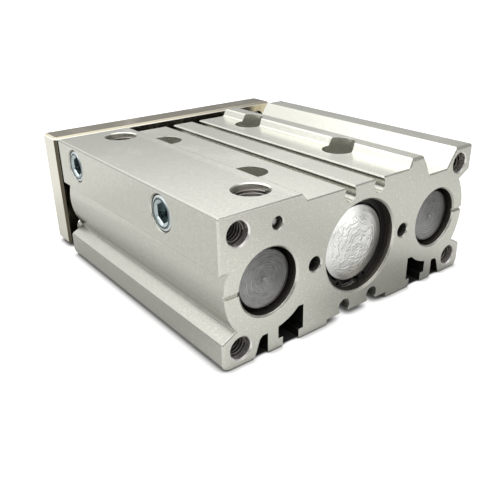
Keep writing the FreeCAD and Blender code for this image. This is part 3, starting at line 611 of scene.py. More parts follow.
def make_nickel_plate(colours):
    """Ground and nickel plated, with painted shade and light: darker on top and in the gap, lit at the
    right rear end.
    """
    look = Finish("nickel_plated_steel", colours.plate, 0.14)
    tree, place, normal = look.tree, position(look.tree), facing(look.tree)
    height = place["Z"]
    grinding = look.streaks(12 * MM, 0.12 * MM, 0.12 * MM)
    smudge = look.smudges(12 * MM)
    look.shade_by(grinding, 0.95, 1.04)
    look.tint(smudge, (0.62, 0.58, 0.50), 0.25)
    look.roughen(smudge, 0.08)
    look.roughen(grinding, 0.06)
    look.raise_by(grinding, 0.0025 * MM)
    look.raise_by(look.speckle(0.3 * MM)["Grain"], 0.003 * MM)
    upward = remap(tree, normal["Z"], 0.80, 0.95)
    top_bevel = within(tree, (normal["Z"], 0.55, 0.65),
                       (height, PLATE_HIGH.z - 0.60 * MM, PLATE_HIGH.z - 0.45 * MM))
    corner = absolute(tree, multiply(tree, normal["X"], normal["Y"]))
    rear = remap(tree, normal["Y"], -0.75, -0.95)
    lit_end = multiply(tree, rear, within(tree, (place["X"], 34.0 * MM, 38.5 * MM),
                                          (height, 10 * MM, 13 * MM)))
    # Painted shade and light: top and top bevel darker, left side lighter cream, corner bevels dark, a
    # cream painted reflection on the rear face at the right end.
    look.tint(greatest(tree, upward, top_bevel), (0.50, 0.46, 0.355))
    look.tint(remap(tree, normal["X"], -0.80, -0.95), (0.97, 0.94, 0.82))
    look.tint(remap(tree, corner, 0.25, 0.45), (0.15, 0.13, 0.09))
    look.tint(lit_end, (0.90, 0.80, 0.56))
    # Painted shade in the gap to the body and on the rear face, kept off the lit patch.
    look.paint_recess_shade((0.022, 0.018, 0.012), reach=14 * MM, start=0.52, full=0.18,
                         amount=subtract(tree, 1.0, lit_end))
    look.paint_recess_shade((0.045, 0.038, 0.027), reach=20 * MM, start=0.88, full=0.55,
                         amount=subtract(tree, rear, lit_end))
    look.wear_and_highlight_edges(0.22 * MM, (0.96, 0.94, 0.86), 0.4, breakup=0.3)
    look.finish()


def make_guide_rod_steel(colours):
    """Faced and brushed rod ends with a bright centre dot and painted light, lighter to the lower left, and
    chromed sides.
    """
    look = Finish("guide_rod_steel", colours.guide_rod, 0.34)
    tree, place = look.tree, position(look.tree)
    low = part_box("guide_rod_right")[0]
    side = remap(tree, place["Y"], low.y + 0.35 * MM, low.y + 0.7 * MM)
    face = subtract(tree, 1.0, side)
    rings = look.rings(0.7 * MM, 0.9, 1.8 * MM, centre=GUIDE_X)
    fine = look.rings(0.28 * MM, 0.2, 4 * MM, centre=GUIDE_X)
    ground = look.streaks(4 * MM, 0.05 * MM, 4 * MM)
    cut = multiply(tree, remap(tree, rings["Ring"], -1.0, 1.0),
                   remap(tree, fine["Patch"], 0.42, 0.62))
    rod_x = multiply(tree, calculate(tree, "SIGN", place["X"]), GUIDE_X)
    painted_light_lean = add(tree, subtract(tree, place["X"], rod_x), place["Z"])
    middle = remap(tree, rings["Radius"], 0.50 * MM, 0.30 * MM)
    look.shade_by(cut, 0.94, 1.16)
    look.shade_by(fine["Brushed"], 0.45, 1.65)
    look.shade_by(rings["Patch"], 0.85, 1.18)
    # Painted light and shade: rod ends lighter to the lower left, darker to the upper right.
    look.shade_by(remap(tree, painted_light_lean, 9 * MM, -9 * MM), 0.78, 1.50)
    look.tint(multiply(tree, face, middle), (0.42, 0.42, 0.41))
    look.tint(side, colours.chrome)
    look.shade_by(ground, 0.97, 1.03)
    look.roughen(side, -0.24)
    look.raise_by(multiply(tree, face, rings["Ring"]), 0.007 * MM)
    look.raise_by(multiply(tree, face, fine["Ring"]), 0.0015 * MM)
    look.raise_by(ground, 0.0004 * MM)
    look.wear_and_highlight_edges(0.18 * MM, (0.75, 0.75, 0.74), 0.6, breakup=0.3)
    look.finish()


def make_chromed_rod_steel(colours):
    look = Finish("chromed_rod_steel", colours.chrome, 0.08)
    ground = look.streaks(4 * MM, 0.05 * MM, 4 * MM)
    look.shade_by(ground, 0.97, 1.03)
    look.roughen(ground, 0.05)
    look.roughen(look.smudges(9 * MM), 0.05)
    look.raise_by(ground, 0.0004 * MM)
    look.wear_and_highlight_edges(0.15 * MM, (0.85, 0.85, 0.85), 0.3)
    look.finish()


def make_zinc_plated_steel(colours):
    """Blue-white plugs with a painted dark line of shade inside a painted bright rim highlight."""
    look = Finish("zinc_plated_steel", colours.zinc, 0.20)
    tree, place = look.tree, position(look.tree)
    grain, film = look.speckle(0.35 * MM)["Grain"], look.smudges(5 * MM, 0.8)
    look.tint(film, (0.55, 0.68, 0.66), 0.35)
    look.shade_by(grain, 0.92, 1.08)
    look.roughen(film, 0.08)
    look.raise_by(grain, 0.008 * MM)
    rear, front = (sum(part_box("side_port_plug_" + end), Vector()) / 2 for end in ("rear", "front"))
    low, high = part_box("side_port_plug_rear")
    from_middle = absolute(tree, subtract(tree, place["Y"], (rear.y + front.y) / 2))
    off_axis = distance(tree, subtract(tree, from_middle, abs(front.y - rear.y) / 2),
                        subtract(tree, place["Z"], rear.z))
    share = divide(tree, off_axis, (high.z - low.z) / 2)
    outward = remap(tree, facing(tree)["X"], -0.80, -0.95)
    rim = remap(tree, share, 0.80, 0.84)
    line = within(tree, (share, 0.70, 0.745), (share, 0.84, 0.80))
    # Painted highlight: a bright rim ring on the plug faces; painted shade: a dark line inside it.
    look.tint(multiply(tree, outward, rim), (0.93, 0.98, 0.99))
    look.tint(multiply(tree, outward, line), (0.05, 0.09, 0.10))
    # Painted shade in the socket and around the plug.
    look.paint_recess_shade((0.012, 0.028, 0.028), reach=3.2 * MM, start=0.86, full=0.40)
    look.wear_and_highlight_edges(0.16 * MM, (0.93, 0.97, 0.98), 0.7)
    look.finish()


def make_screw_steel(colours):
    look = Finish("screw_steel", colours.screw, 0.28)
    grain, film = look.speckle(0.3 * MM)["Grain"], look.smudges(6 * MM, 0.6)
    look.shade_by(grain, 0.93, 1.07)
    look.tint(film, (0.40, 0.37, 0.33), 0.3)
    look.roughen(film, 0.10)
    look.raise_by(grain, 0.006 * MM)
    # Painted shade in the hexagon sockets and other recesses of the screws.
    look.paint_recess_shade((0.02, 0.02, 0.02), reach=3 * MM, start=0.5, full=0.1)
    look.wear_and_highlight_edges(0.15 * MM, (0.82, 0.81, 0.78), 0.6)
    look.finish()


def make_bearing_steel(colours):
    look = Finish("bearing_steel", colours.ball, 0.36)
    scratches = look.streaks(0.05 * MM, 0.4 * MM, 0.05 * MM)
    look.shade_by(look.speckle(0.3 * MM)["Grain"], 0.92, 1.06)
    look.roughen(scratches, 0.10)
    look.raise_by(scratches, 0.0004 * MM)
    look.finish()


def make_spring_steel(colours):
    look = Finish("spring_steel", colours.ring, 0.42, metallic=0.4)
    grain = look.speckle(0.15 * MM)["Grain"]
    look.shade_by(grain, 0.8, 1.25)
    look.roughen(look.smudges(6 * MM), -0.12)
    look.raise_by(grain, 0.005 * MM)
    look.wear_and_highlight_edges(0.10 * MM, (0.07, 0.07, 0.07), 0.4)
    look.finish()


def make_rubber(colours):
    look = Finish("black_rubber", colours.rubber, 0.55, metallic=0.0)
    grain = look.speckle(0.12 * MM)["Grain"]
    look.shade_by(grain, 0.8, 1.3)
    look.tint(look.smudges(4 * MM, 0.6), (0.12, 0.12, 0.11), 0.12)
    look.raise_by(grain, 0.006 * MM)
    look.finish()


def make_urethane(colours):
    look = Finish("amber_urethane", colours.urethane, 0.35, metallic=0.0)
    grain = look.speckle(0.5 * MM)["Grain"]
    look.tint(look.smudges(5 * MM, 0.8), (0.50, 0.28, 0.10), 0.3)
    look.shade_by(grain, 0.93, 1.06)
    look.raise_by(grain, 0.003 * MM)
    look.finish()


def make_magnet(colours):
    look = Finish("bonded_magnet", colours.magnet, 0.6, metallic=0.0)
    grain = look.speckle(0.18 * MM)
    look.shade_by(grain["Grain"], 0.75, 1.3)
    look.tint(grain["Glint"], (0.25, 0.25, 0.27), 0.4)
    look.raise_by(grain["Grain"], 0.008 * MM)
    look.finish()


def make_bronze(colours):
    look = Finish("bush_bronze", colours.bronze, 0.38)
    pores = look.speckle(0.12 * MM)
    look.tint(pores["Glint"], (0.10, 0.07, 0.04), 0.7)
    look.shade_by(pores["Grain"], 0.85, 1.15)
    look.roughen(look.smudges(5 * MM, 0.7), -0.15)
    look.raise_by(pores["Glint"], -0.012 * MM)
    look.wear_and_highlight_edges(0.15 * MM, (0.68, 0.50, 0.28), 0.5)
    look.finish()


def make_felt(colours):
    look = Finish("wool_felt", colours.felt, 0.95, metallic=0.0)
    fibres = look.streaks(0.5 * MM, 0.06 * MM, 0.06 * MM, detail=4.0)
    cross = look.streaks(0.06 * MM, 0.06 * MM, 0.5 * MM, detail=4.0)
    look.shade_by(fibres, 0.75, 1.2)
    look.shade_by(cross, 0.8, 1.15)
    look.tint(look.smudges(4 * MM, 0.7), (0.30, 0.25, 0.16), 0.5)
    look.raise_by(fibres, 0.06 * MM)
    look.raise_by(cross, 0.05 * MM)
    look.shader.inputs["Sheen Weight"].default_value = 0.4
    look.finish()


def make_resin(colours):
    look = Finish("black_resin", colours.resin, 0.45, metallic=0.0)
    grain = look.speckle(0.2 * MM)["Grain"]
    look.shade_by(grain, 0.85, 1.2)
    look.tint(look.smudges(5 * MM), (0.15, 0.15, 0.14), 0.1)
    look.raise_by(grain, 0.006 * MM)
    look.wear_and_highlight_edges(0.12 * MM, (0.07, 0.07, 0.07), 0.5)
    look.finish()


def make_thread_aluminium(colours):
    """Freshly cut threads: shinier than the skin of the body, with a trace of tapping oil; their dark
    colour is painted shade of the holes.
    """
    look = Finish("thread_aluminium", colours.thread, 0.28, metallic=0.9)
    grain = look.speckle(0.12 * MM)["Grain"]
    look.tint(look.smudges(2.5 * MM, 0.7), (0.34, 0.28, 0.22), 0.3)
    look.shade_by(grain, 0.9, 1.1)
    look.raise_by(grain, 0.004 * MM)
    # Painted shade deeper in the holes.
    look.paint_recess_shade((0.02, 0.018, 0.016), reach=5 * MM, start=0.60, full=0.22)
    look.finish()


def make_thread_nickel(colours):
    look = Finish("thread_nickel", colours.plate, 0.25)
    grain = look.speckle(0.15 * MM)["Grain"]
    look.shade_by(grain, 0.9, 1.1)
    look.raise_by(grain, 0.003 * MM)
    # Painted shade deeper in the plate's tapped holes.
    look.paint_recess_shade((0.04, 0.035, 0.03), reach=4 * MM, start=0.40, full=0.10)
    look.finish()


SHADER_GROUPS = (build_edge_wear_and_highlight, build_recess_shade, build_own_recess_shade, build_long_grain,
                 build_turned_rings, build_speckle, build_handling)
MATERIALS = (make_body_aluminium, make_cover_aluminium, make_nickel_plate, make_guide_rod_steel,
             make_chromed_rod_steel, make_zinc_plated_steel, make_screw_steel, make_bearing_steel,
             make_spring_steel, make_rubber, make_urethane, make_magnet, make_bronze, make_felt,
             make_resin, make_thread_aluminium, make_thread_nickel)


# ---------------------------------------------------------------- meshes
def circle(radius, height, count, shape=None):
    """Points of one ring around Z; shape gives a share of the radius for each angle."""
    points = []
    for i in range(count):
        angle = 2 * math.pi * i / count
        reach = radius * (shape(angle) if shape else 1.0)
        points.append(Vector((reach * math.cos(angle), reach * math.sin(angle), height)))
    return points


def hexagon(angle):
    """Shape of a hexagon with apothem 1, corners at multiples of 60 degrees."""
    return 1.0 / math.cos((angle % (math.pi / 3)) - math.pi / 6)


def loft(rings, start, end):
    """Closed mesh through rings of equal count, with poles at heights start and end on the axis."""
    mesh = bmesh.new()
    loops = [[mesh.verts.new(point) for point in ring] for ring in rings]
    for first, second in zip(loops, loops[1:]):
        for i in range(len(first)):
            after = (i + 1) % len(first)
            mesh.faces.new((first[i], first[after], second[after], second[i]))
    for loop, height in ((loops[0], start), (loops[-1], end)):
        pole = mesh.verts.new((0.0, 0.0, height))
        for i in range(len(loop)):
            mesh.faces.new((loop[i], loop[(i + 1) % len(loop)], pole))
    bmesh.ops.recalc_face_normals(mesh, faces=mesh.faces)
    return mesh


def arc(centre_radius, centre_height, reach, start, end, steps):
    """(radius, height) points on an arc of a turned profile; angles in degrees from outward."""
    points = []
    for i in range(steps + 1):
        angle = math.radians(start + (end - start) * i / steps)
        points.append((centre_radius + reach * math.cos(angle),
                       centre_height + reach * math.sin(angle)))
    return points


def make_object(name, mesh, matrix, material, sharp_angle=32.0):
    """Turn a bmesh into an object at the origin, its place in its mesh."""
    mesh.transform(matrix)
    for face in mesh.faces:
        face.smooth = True
    data = bpy.data.meshes.new(name)
    mesh.to_mesh(data)
    mesh.free()
    data.set_sharp_from_angle(angle=math.radians(sharp_angle))
    data.materials.append(bpy.data.materials[material])
    return link_object(name, data)


def link_object(name, data):
    piece = bpy.data.objects.new(name, data)
    bpy.context.scene.collection.objects.link(piece)
    return piece


def axis_place(low, high, base=0.0):
    """Move to the axis along Y through the middle of a box."""
    return Matrix.Translation(((low.x + high.x) / 2, base, (low.z + high.z) / 2))


# ---------------------------------------------------------------- geometry nodes
def set_inputs(modifier, values):
    """Give a Geometry Nodes modifier its inputs, by the identifiers of its sockets."""
    for item in modifier.node_group.interface.items_tree:
        if item.item_type == "SOCKET" and item.in_out == "INPUT" and item.name in values:
            modifier[item.identifier] = values[item.name]


def apply_nodes(piece, tree, values):
    """Run a Geometry Nodes tree on a piece and keep its result as a plain mesh."""
    modifier = piece.modifiers.new(tree.name, "NODES")
    modifier.node_group = tree
    set_inputs(modifier, values)
    evaluated = piece.evaluated_get(bpy.context.evaluated_depsgraph_get())
    result = bpy.data.meshes.new_from_object(evaluated)
    piece.modifiers.clear()
    blank = piece.data
    piece.data = result
    result.name = piece.name
    bpy.data.meshes.remove(blank)
    if not result.polygons:
        raise RuntimeError(piece.name + " came out empty")
    return piece


def line_of_points(tree, count, step, start=(0.0, 0.0, 0.0)):
    return add_node(tree, "GeometryNodeMeshLine", {
        "Count": count, "Start Location": start, "Offset": step}).outputs[0]


def real_copies(tree, points, instance):
    """Copies on points, made real."""
    copies = add_node(tree, "GeometryNodeInstanceOnPoints",
                      {"Points": points, "Instance": instance})
    return add_node(tree, "GeometryNodeRealizeInstances", {0: copies.outputs[0]}).outputs[0]


def put_out_painted(tree, leave, geometry, material):
    painted = add_node(tree, "GeometryNodeSetMaterial",
                       {"Geometry": geometry, "Material": material})
    put_out(tree, leave, {"Geometry": painted.outputs[0]})


def build_row_tree():
    """Copies of a piece in a straight row."""
    tree, given, leave = new_group(
        "Row of Pieces", "GeometryNodeTree",
        [("Geometry", GEOMETRY, None), ("Count", INTEGER, 2), ("Step", VECTOR, (0.0, 0.0, 0.0)),
         ("Material", "NodeSocketMaterial", None)],
        [("Geometry", GEOMETRY)])
    row = real_copies(tree, line_of_points(tree, given["Count"], given["Step"]),
                      given["Geometry"])
    put_out_painted(tree, leave, row, given["Material"])
    return tree


def repeat(piece, copies, step):
    """Set copies of a piece in a row that starts with the piece itself."""
    tree = bpy.data.node_groups.get("Row of Pieces") or build_row_tree()
    apply_nodes(piece, tree, {"Count": copies, "Step": step,
                              "Material": piece.data.materials[0]})


def build_thread_tree():
    """Helical crests inside a grid of equal holes, each closed and let into the wall."""
    tree, given, leave = new_group(
        "Threads", "GeometryNodeTree",
        [("Geometry", GEOMETRY, None), ("Hole Radius", FLOAT, 3.0 * MM),
         ("Crest Height", FLOAT, 0.5 * MM), ("Pitch", FLOAT, 1.0 * MM), ("Depth", FLOAT, 12 * MM),
         ("Steps per Turn", INTEGER, 28), ("First Mouth", VECTOR, (0.0, 0.0, 0.0)),
         ("Turn", VECTOR, (0.0, 0.0, 0.0)), ("Across", VECTOR, (0.0, 0.0, 0.0)),
         ("Across Count", INTEGER, 2), ("Along", VECTOR, (0.0, 0.0, 0.0)),
         ("Along Count", INTEGER, 2), ("Material", "NodeSocketMaterial", None)],
        [("Geometry", GEOMETRY)])
    pitch, sunk = given["Pitch"], 0.03 * MM
    height = add(tree, given["Crest Height"], sunk)
    middle = subtract(tree, add(tree, given["Hole Radius"], sunk), multiply(tree, height, 0.5))
    threaded = subtract(tree, given["Depth"], multiply(tree, pitch, 2.1))
    spiral = add_node(tree, "GeometryNodeCurveSpiral", {
        "Resolution": given["Steps per Turn"], "Rotations": divide(tree, threaded, pitch),
        "Start Radius": middle, "End Radius": middle, "Height": threaded})
    upright = add_node(tree, "GeometryNodeSetCurveNormal", {"Curve": spiral.outputs[0]},
                       mode="Z_UP")
    section = add_node(tree, "GeometryNodeCurvePrimitiveQuadrilateral", {
        "Height": height, "Bottom Width": multiply(tree, pitch, 0.90),
        "Top Width": multiply(tree, pitch, 0.16), "Offset": 0.0}, mode="TRAPEZOID")
    turned = add_node(tree, "GeometryNodeTransform",
                      {"Geometry": section.outputs[0], "Rotation": (0.0, 0.0, math.radians(90))})
    crest = add_node(tree, "GeometryNodeCurveToMesh", {
        "Curve": upright.outputs[0], "Profile Curve": turned.outputs[0], "Fill Caps": True})
    lead_in = add_node(tree, "ShaderNodeCombineXYZ", {"Z": multiply(tree, pitch, 1.9)})
    lifted = add_node(tree, "GeometryNodeTransform", {
        "Geometry": crest.outputs[0], "Translation": lead_in.outputs[0]})
    aimed = add_node(tree, "GeometryNodeTransform",
                     {"Geometry": lifted.outputs[0], "Rotation": given["Turn"]})
    columns = line_of_points(tree, given["Across Count"], given["Across"], given["First Mouth"])
    rows = line_of_points(tree, given["Along Count"], given["Along"])
    threads = real_copies(tree, real_copies(tree, columns, rows), aimed.outputs[0])
    put_out_painted(tree, leave, threads, given["Material"])
    return tree


# ---------------------------------------------------------------- operators
class CYLINDER_OT_finishes(bpy.types.Operator):
    """Build the shader groups and materials, and put them on the construction's own pieces"""
    bl_idname = "guided_cylinder.finishes"
    bl_label = "Surface Finishes"

    def execute(self, context):
        for build in SHADER_GROUPS:
            build()
        imported = list(bpy.data.materials)
        for material in imported:
            material.name = "plain_" + material.name
        for make in MATERIALS:
            make(context.scene.cylinder_colours)
        slots = {part["node"]: part["material_slot"] for part in frame["record"]["subparts"]}
        for node, piece in frame["nodes"].items():
            piece.data.materials.clear()
            piece.data.materials.append(bpy.data.materials[slots[node]])
        for material in imported:
            bpy.data.materials.remove(material)
        return {"FINISHED"}


class CYLINDER_OT_threads(bpy.types.Operator):
    """Cut the threads of the tapped holes and air ports"""
    bl_idname = "guided_cylinder.threads"
    bl_label = "Threads"

    def execute(self, context):
        sizes = context.scene.cylinder_threads
        tree = build_thread_tree()
        plate_depth = PLATE_HIGH.y - PLATE_LOW.y - sizes.plate_margin
        sets = (
            ("rear_tap_threads", "housing", "rear_tapped_holes", sizes.tap_depth, BODY_LOW,
             "thread_aluminium"),
            ("foot_tap_threads", "housing", "bottom_tapped_holes", sizes.foot_depth, BODY_LOW,
             "thread_aluminium"),
            ("plate_tap_threads", "slide_unit", "plate_tapped_holes", plate_depth, PLATE_LOW,
             "thread_nickel"),
        )
        for name, body, mount, depth, low, material in sets:
            step_x, step_y = spacing(mount)
            across, mouth = Vector((step_x, 0, 0)), Vector(MOUNTS[mount]["pos_m"])
            if MOUNTS[mount]["axis"][2]:
                turn, along, mouth.z = Matrix(), Vector((0, step_y, 0)), low.z
            else:
                turn, along, mouth.y = TO_FRONT, Vector((0, 0, step_y)), low.y
            self.add(tree, sizes, name, body, MOUNTS[mount]["dims"]["hole_r_mm"] * MM,
                     sizes.tap_pitch, depth, turn, mouth - across / 2 - along / 2, across, 2,
                     along, 2, material)
        port, front = MOUNTS["rear_air_port"], MOUNTS["front_air_port"]
        mouth = Vector(port["pos_m"])
        mouth.z += port["dims"]["length_mm"] * MM / 2
        port_step = Vector((0, front["pos_m"][1] - port["pos_m"][1], 0))
        self.add(tree, sizes, "port_threads", "housing", port["dims"]["r_mm"] * MM,
                 sizes.port_pitch, sizes.port_depth, Matrix.Rotation(math.pi, 4, "X"), mouth,
                 port_step, 2, Vector(), 1, "thread_aluminium")
        return {"FINISHED"}

    def add(self, tree, sizes, name, body, radius, pitch, depth, turn, mouth, across,
            across_count, along, along_count, material):
        piece = link_object(name, bpy.data.meshes.new(name + "_blank"))
        apply_nodes(piece, tree, {
            "Hole Radius": radius, "Crest Height": pitch * sizes.crest_share, "Pitch": pitch,
            "Depth": depth, "Steps per Turn": sizes.steps, "First Mouth": mouth,
            "Turn": Vector(turn.to_euler()), "Across": across, "Across Count": across_count,
            "Along": along, "Along Count": along_count,
            "Material": bpy.data.materials[material]})
        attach(piece, body)


class CYLINDER_OT_head_cover(bpy.types.Operator):
    """Turn the head cover with its rough domed boss"""
    bl_idname = "guided_cylinder.head_cover"
    bl_label = "Head Cover"

    def execute(self, context):
        sizes = context.scene.cylinder_cover
        low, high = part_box("head_cover")
        boss, rim, spigot = sizes.boss_radius, high.x, sizes.spigot_radius
        flange = low.y + sizes.boss_height
        flange_end = flange + sizes.flange_thickness
        flat_share, steps = 0.35, 22
        rings = []
        for i in range(1, steps + 1):
            radius = boss * math.sin(i / steps * math.pi / 2)
            slope = max(0.0, (radius / boss - flat_share) / (1 - flat_share))
            rings.append((radius, low.y + sizes.crown * (1 - math.cos(slope * math.pi / 2))))
        fillet, edge = 0.15 * MM, 0.2 * MM
        groove_floor, groove_start, groove_end = rim - 1.7 * MM, flange + 0.8 * MM, flange + 2.8 * MM
        rings += [(boss, flange - fillet), (boss + fillet, flange), (rim - edge, flange),
                  (rim, flange + edge), (rim, groove_start), (groove_floor, groove_start),
                  (groove_floor, groove_end), (rim, groove_end), (rim, flange_end),
                  (spigot, flange_end), (spigot, high.y - edge), (spigot - edge, high.y)]
        loops = [circle(radius, height, FINE_ROUND) for radius, height in rings]
        self.add_ripple(loops[1:steps - 2], rings[1:steps - 2], sizes.ripple)
        piece = make_object("head_cover_turned", loft(loops, low.y, high.y), TO_FRONT,
                            "cover_aluminium")
        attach(piece, "housing")
        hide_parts("head_cover")
        return {"FINISHED"}

    def add_ripple(self, loops, rings, height):
        """Uneven rings of a coarse turning tool."""
        for loop, (radius, _) in zip(loops, rings):
            for i, point in enumerate(loop):
                angle = 2 * math.pi * i / len(loop)
                point.z += height * (1 + math.sin(radius / MM * 4.1 + 1.3 * math.sin(2 * angle)))


class CYLINDER_OT_guide_rods(bpy.types.Operator):
    """Turn both guide rods with faced, centre-marked ends"""
    bl_idname = "guided_cylinder.guide_rods"
    bl_label = "Guide Rods"

    def execute(self, context):
        sizes = context.scene.cylinder_rods
        low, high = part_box("guide_rod_left")
        radius = (high.x - low.x) / 2
        chamfer, mark = sizes.chamfer, sizes.centre_mark
        profile = [(mark * 0.25, low.y + mark * 0.7), (mark * 0.8, low.y + mark * 0.12),
                   (mark, low.y), (radius * 0.45, low.y), (radius * 0.8, low.y)]
        profile += [(radius - chamfer, low.y), (radius - chamfer * 0.55, low.y + chamfer * 0.12),
                    (radius - chamfer * 0.12, low.y + chamfer * 0.55), (radius, low.y + chamfer)]
        profile += [(radius, low.y + (high.y - low.y) * share) for share in (0.25, 0.5, 0.75)]
        profile += [(radius, high.y - chamfer), (radius - chamfer, high.y)]
        mesh = loft([circle(r, h, FINE_ROUND) for r, h in profile], low.y + mark * 0.8, high.y)
        piece = make_object("guide_rods_turned", mesh, axis_place(low, high) @ TO_FRONT,
                            "guide_rod_steel", 50.0)
        repeat(piece, 2, (2 * GUIDE_X, 0.0, 0.0))
        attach(piece, "slide_unit")
        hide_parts("guide_rod_left", "guide_rod_right")
        return {"FINISHED"}


class CYLINDER_OT_side_plugs(bpy.types.Operator):
    """Make the two plugs that close the side ports"""
    bl_idname = "guided_cylinder.side_plugs"
    bl_label = "Side Port Plugs"

    def execute(self, context):
        sizes = context.scene.cylinder_plugs
        low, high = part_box("side_port_plug_rear")
        front_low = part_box("side_port_plug_front")[0]
        radius, length_x = (high.z - low.z) / 2, high.x - low.x
        bevel, sink, apothem = sizes.bevel, sizes.sink_radius, sizes.socket / 2
        count, lip, rim = PLAIN_ROUND, 0.14 * MM, radius - sizes.bevel
        rings = [circle(apothem * 0.5, sizes.socket_depth + 0.35 * MM, count, hexagon),
                 circle(apothem, sizes.socket_depth, count, hexagon),
                 circle(apothem, 0.45 * MM, count, hexagon),
                 circle(apothem * 1.03, 0.38 * MM, count, hexagon),
                 circle(sink, 0.05 * MM, count), circle(sink + 0.12 * MM, 0.0, count),
                 circle(rim - 0.28 * MM, 0.0, count), circle(rim - 0.2 * MM, lip, count),
                 circle(rim - 0.02 * MM, lip, count)]
        rings += [circle(r, h, count) for r, h in arc(rim, bevel + lip, bevel, -70, 0, 4)]
        rings += [circle(radius, length_x - bevel, count), circle(rim, length_x, count)]
        mesh = loft(rings, sizes.socket_depth + 0.8 * MM, length_x)
        place = Matrix.Translation((low.x, (low.y + high.y) / 2, (low.z + high.z) / 2))
        piece = make_object("side_plugs_socketed", mesh, place @ TO_RIGHT, "zinc_plated_steel", 25.0)
        repeat(piece, 2, (0.0, front_low.y - low.y, 0.0))
        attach(piece, "housing")
        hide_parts("side_port_plug_rear", "side_port_plug_front")
        return {"FINISHED"}


class CYLINDER_OT_plate_screws(bpy.types.Operator):
    """Make the three socket screws that hold the tooling plate"""
    bl_idname = "guided_cylinder.plate_screws"
    bl_label = "Plate Screws"

    def execute(self, context):
        sizes = context.scene.cylinder_screws
        self.add("guide_screws_socketed", ("guide_rod_screw_left", "guide_rod_screw_right"),
                 sizes.guide_socket, sizes.guide_shank / 2, sizes, 2)
        self.add("piston_screw_socketed", ("piston_rod_screw",), sizes.piston_socket,
                 sizes.piston_shank / 2, sizes, 1)
        return {"FINISHED"}

    def add(self, name, nodes, socket, shank, sizes, copies):
        low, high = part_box(nodes[0])
        head, top = (high.x - low.x) / 2, high.y
        base, rounding, count = top - sizes.head_height, sizes.rounding, PLAIN_ROUND
        apothem, floor = socket / 2, top - sizes.socket_depth
        point, edge, sink = 0.5 * MM, 0.15 * MM, apothem * 1.22
        rings = [circle(shank - point, low.y, count), circle(shank, low.y + point, count),
                 circle(shank, base, count), circle(head - edge, base, count),
                 circle(head, base + edge, count)]
        rings += [circle(r, h, count)
                  for r, h in arc(head - rounding, top - rounding, rounding, 0, 90, 5)]
        rings += [circle(sink, top, count), circle(sink - 0.08 * MM, top - 0.03 * MM, count),
                  circle(apothem, top - 0.25 * MM, count, hexagon),
                  circle(apothem, floor, count, hexagon),
                  circle(apothem * 0.5, floor - 0.4 * MM, count, hexagon)]
        mesh = loft(rings, low.y, floor - 0.8 * MM)
        piece = make_object(name, mesh, axis_place(low, high) @ TO_FRONT, "screw_steel", 28.0)
        repeat(piece, copies, (2 * GUIDE_X, 0.0, 0.0))
        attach(piece, "slide_unit")
        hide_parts(*nodes)


def painted_shadow_under_slots(tree, place):
    """Mask of the floor below the T-slots and the foot grooves of the body, for a painted shadow."""
    across = absolute(tree, place["X"])
    return within(tree, (across, 20 * MM, 21 * MM), (across, 39 * MM, 38 * MM),
                  (place["Y"], 0.0, 1.2 * MM), (place["Y"], 88 * MM, 87 * MM))


def painted_floor_reflections(tree, place):
    """How much of the floor's glow each place on it shows to mirrored rays: painted lighter and darker
    patches seen in reflections.
    """
    front = remap(tree, place["Y"], 30 * MM, -20 * MM)
    left = multiply(tree, front, remap(tree, place["X"], 30 * MM, -15 * MM))
    right = multiply(tree, front, remap(tree, place["X"], 20 * MM, 60 * MM),
                     remap(tree, place["X"], 150 * MM, 95 * MM))
    behind = remap(tree, place["Y"], 125 * MM, 165 * MM)
    beside = within(tree, (place["X"], -50 * MM, -68 * MM), (place["Y"], 20 * MM, 60 * MM))
    off_middle = absolute(tree, subtract(tree, place["X"], 15 * MM))
    close = within(tree, (off_middle, 38 * MM, 14 * MM), (place["Y"], -24 * MM, -8 * MM))
    share = 0.80
    for zone, change in ((front, 0.15), (behind, 0.9), (left, 2.2), (right, 1.0), (beside, 0.3),
                         (close, -1.5)):
        share = add(tree, multiply(tree, zone, change), share)
    return share


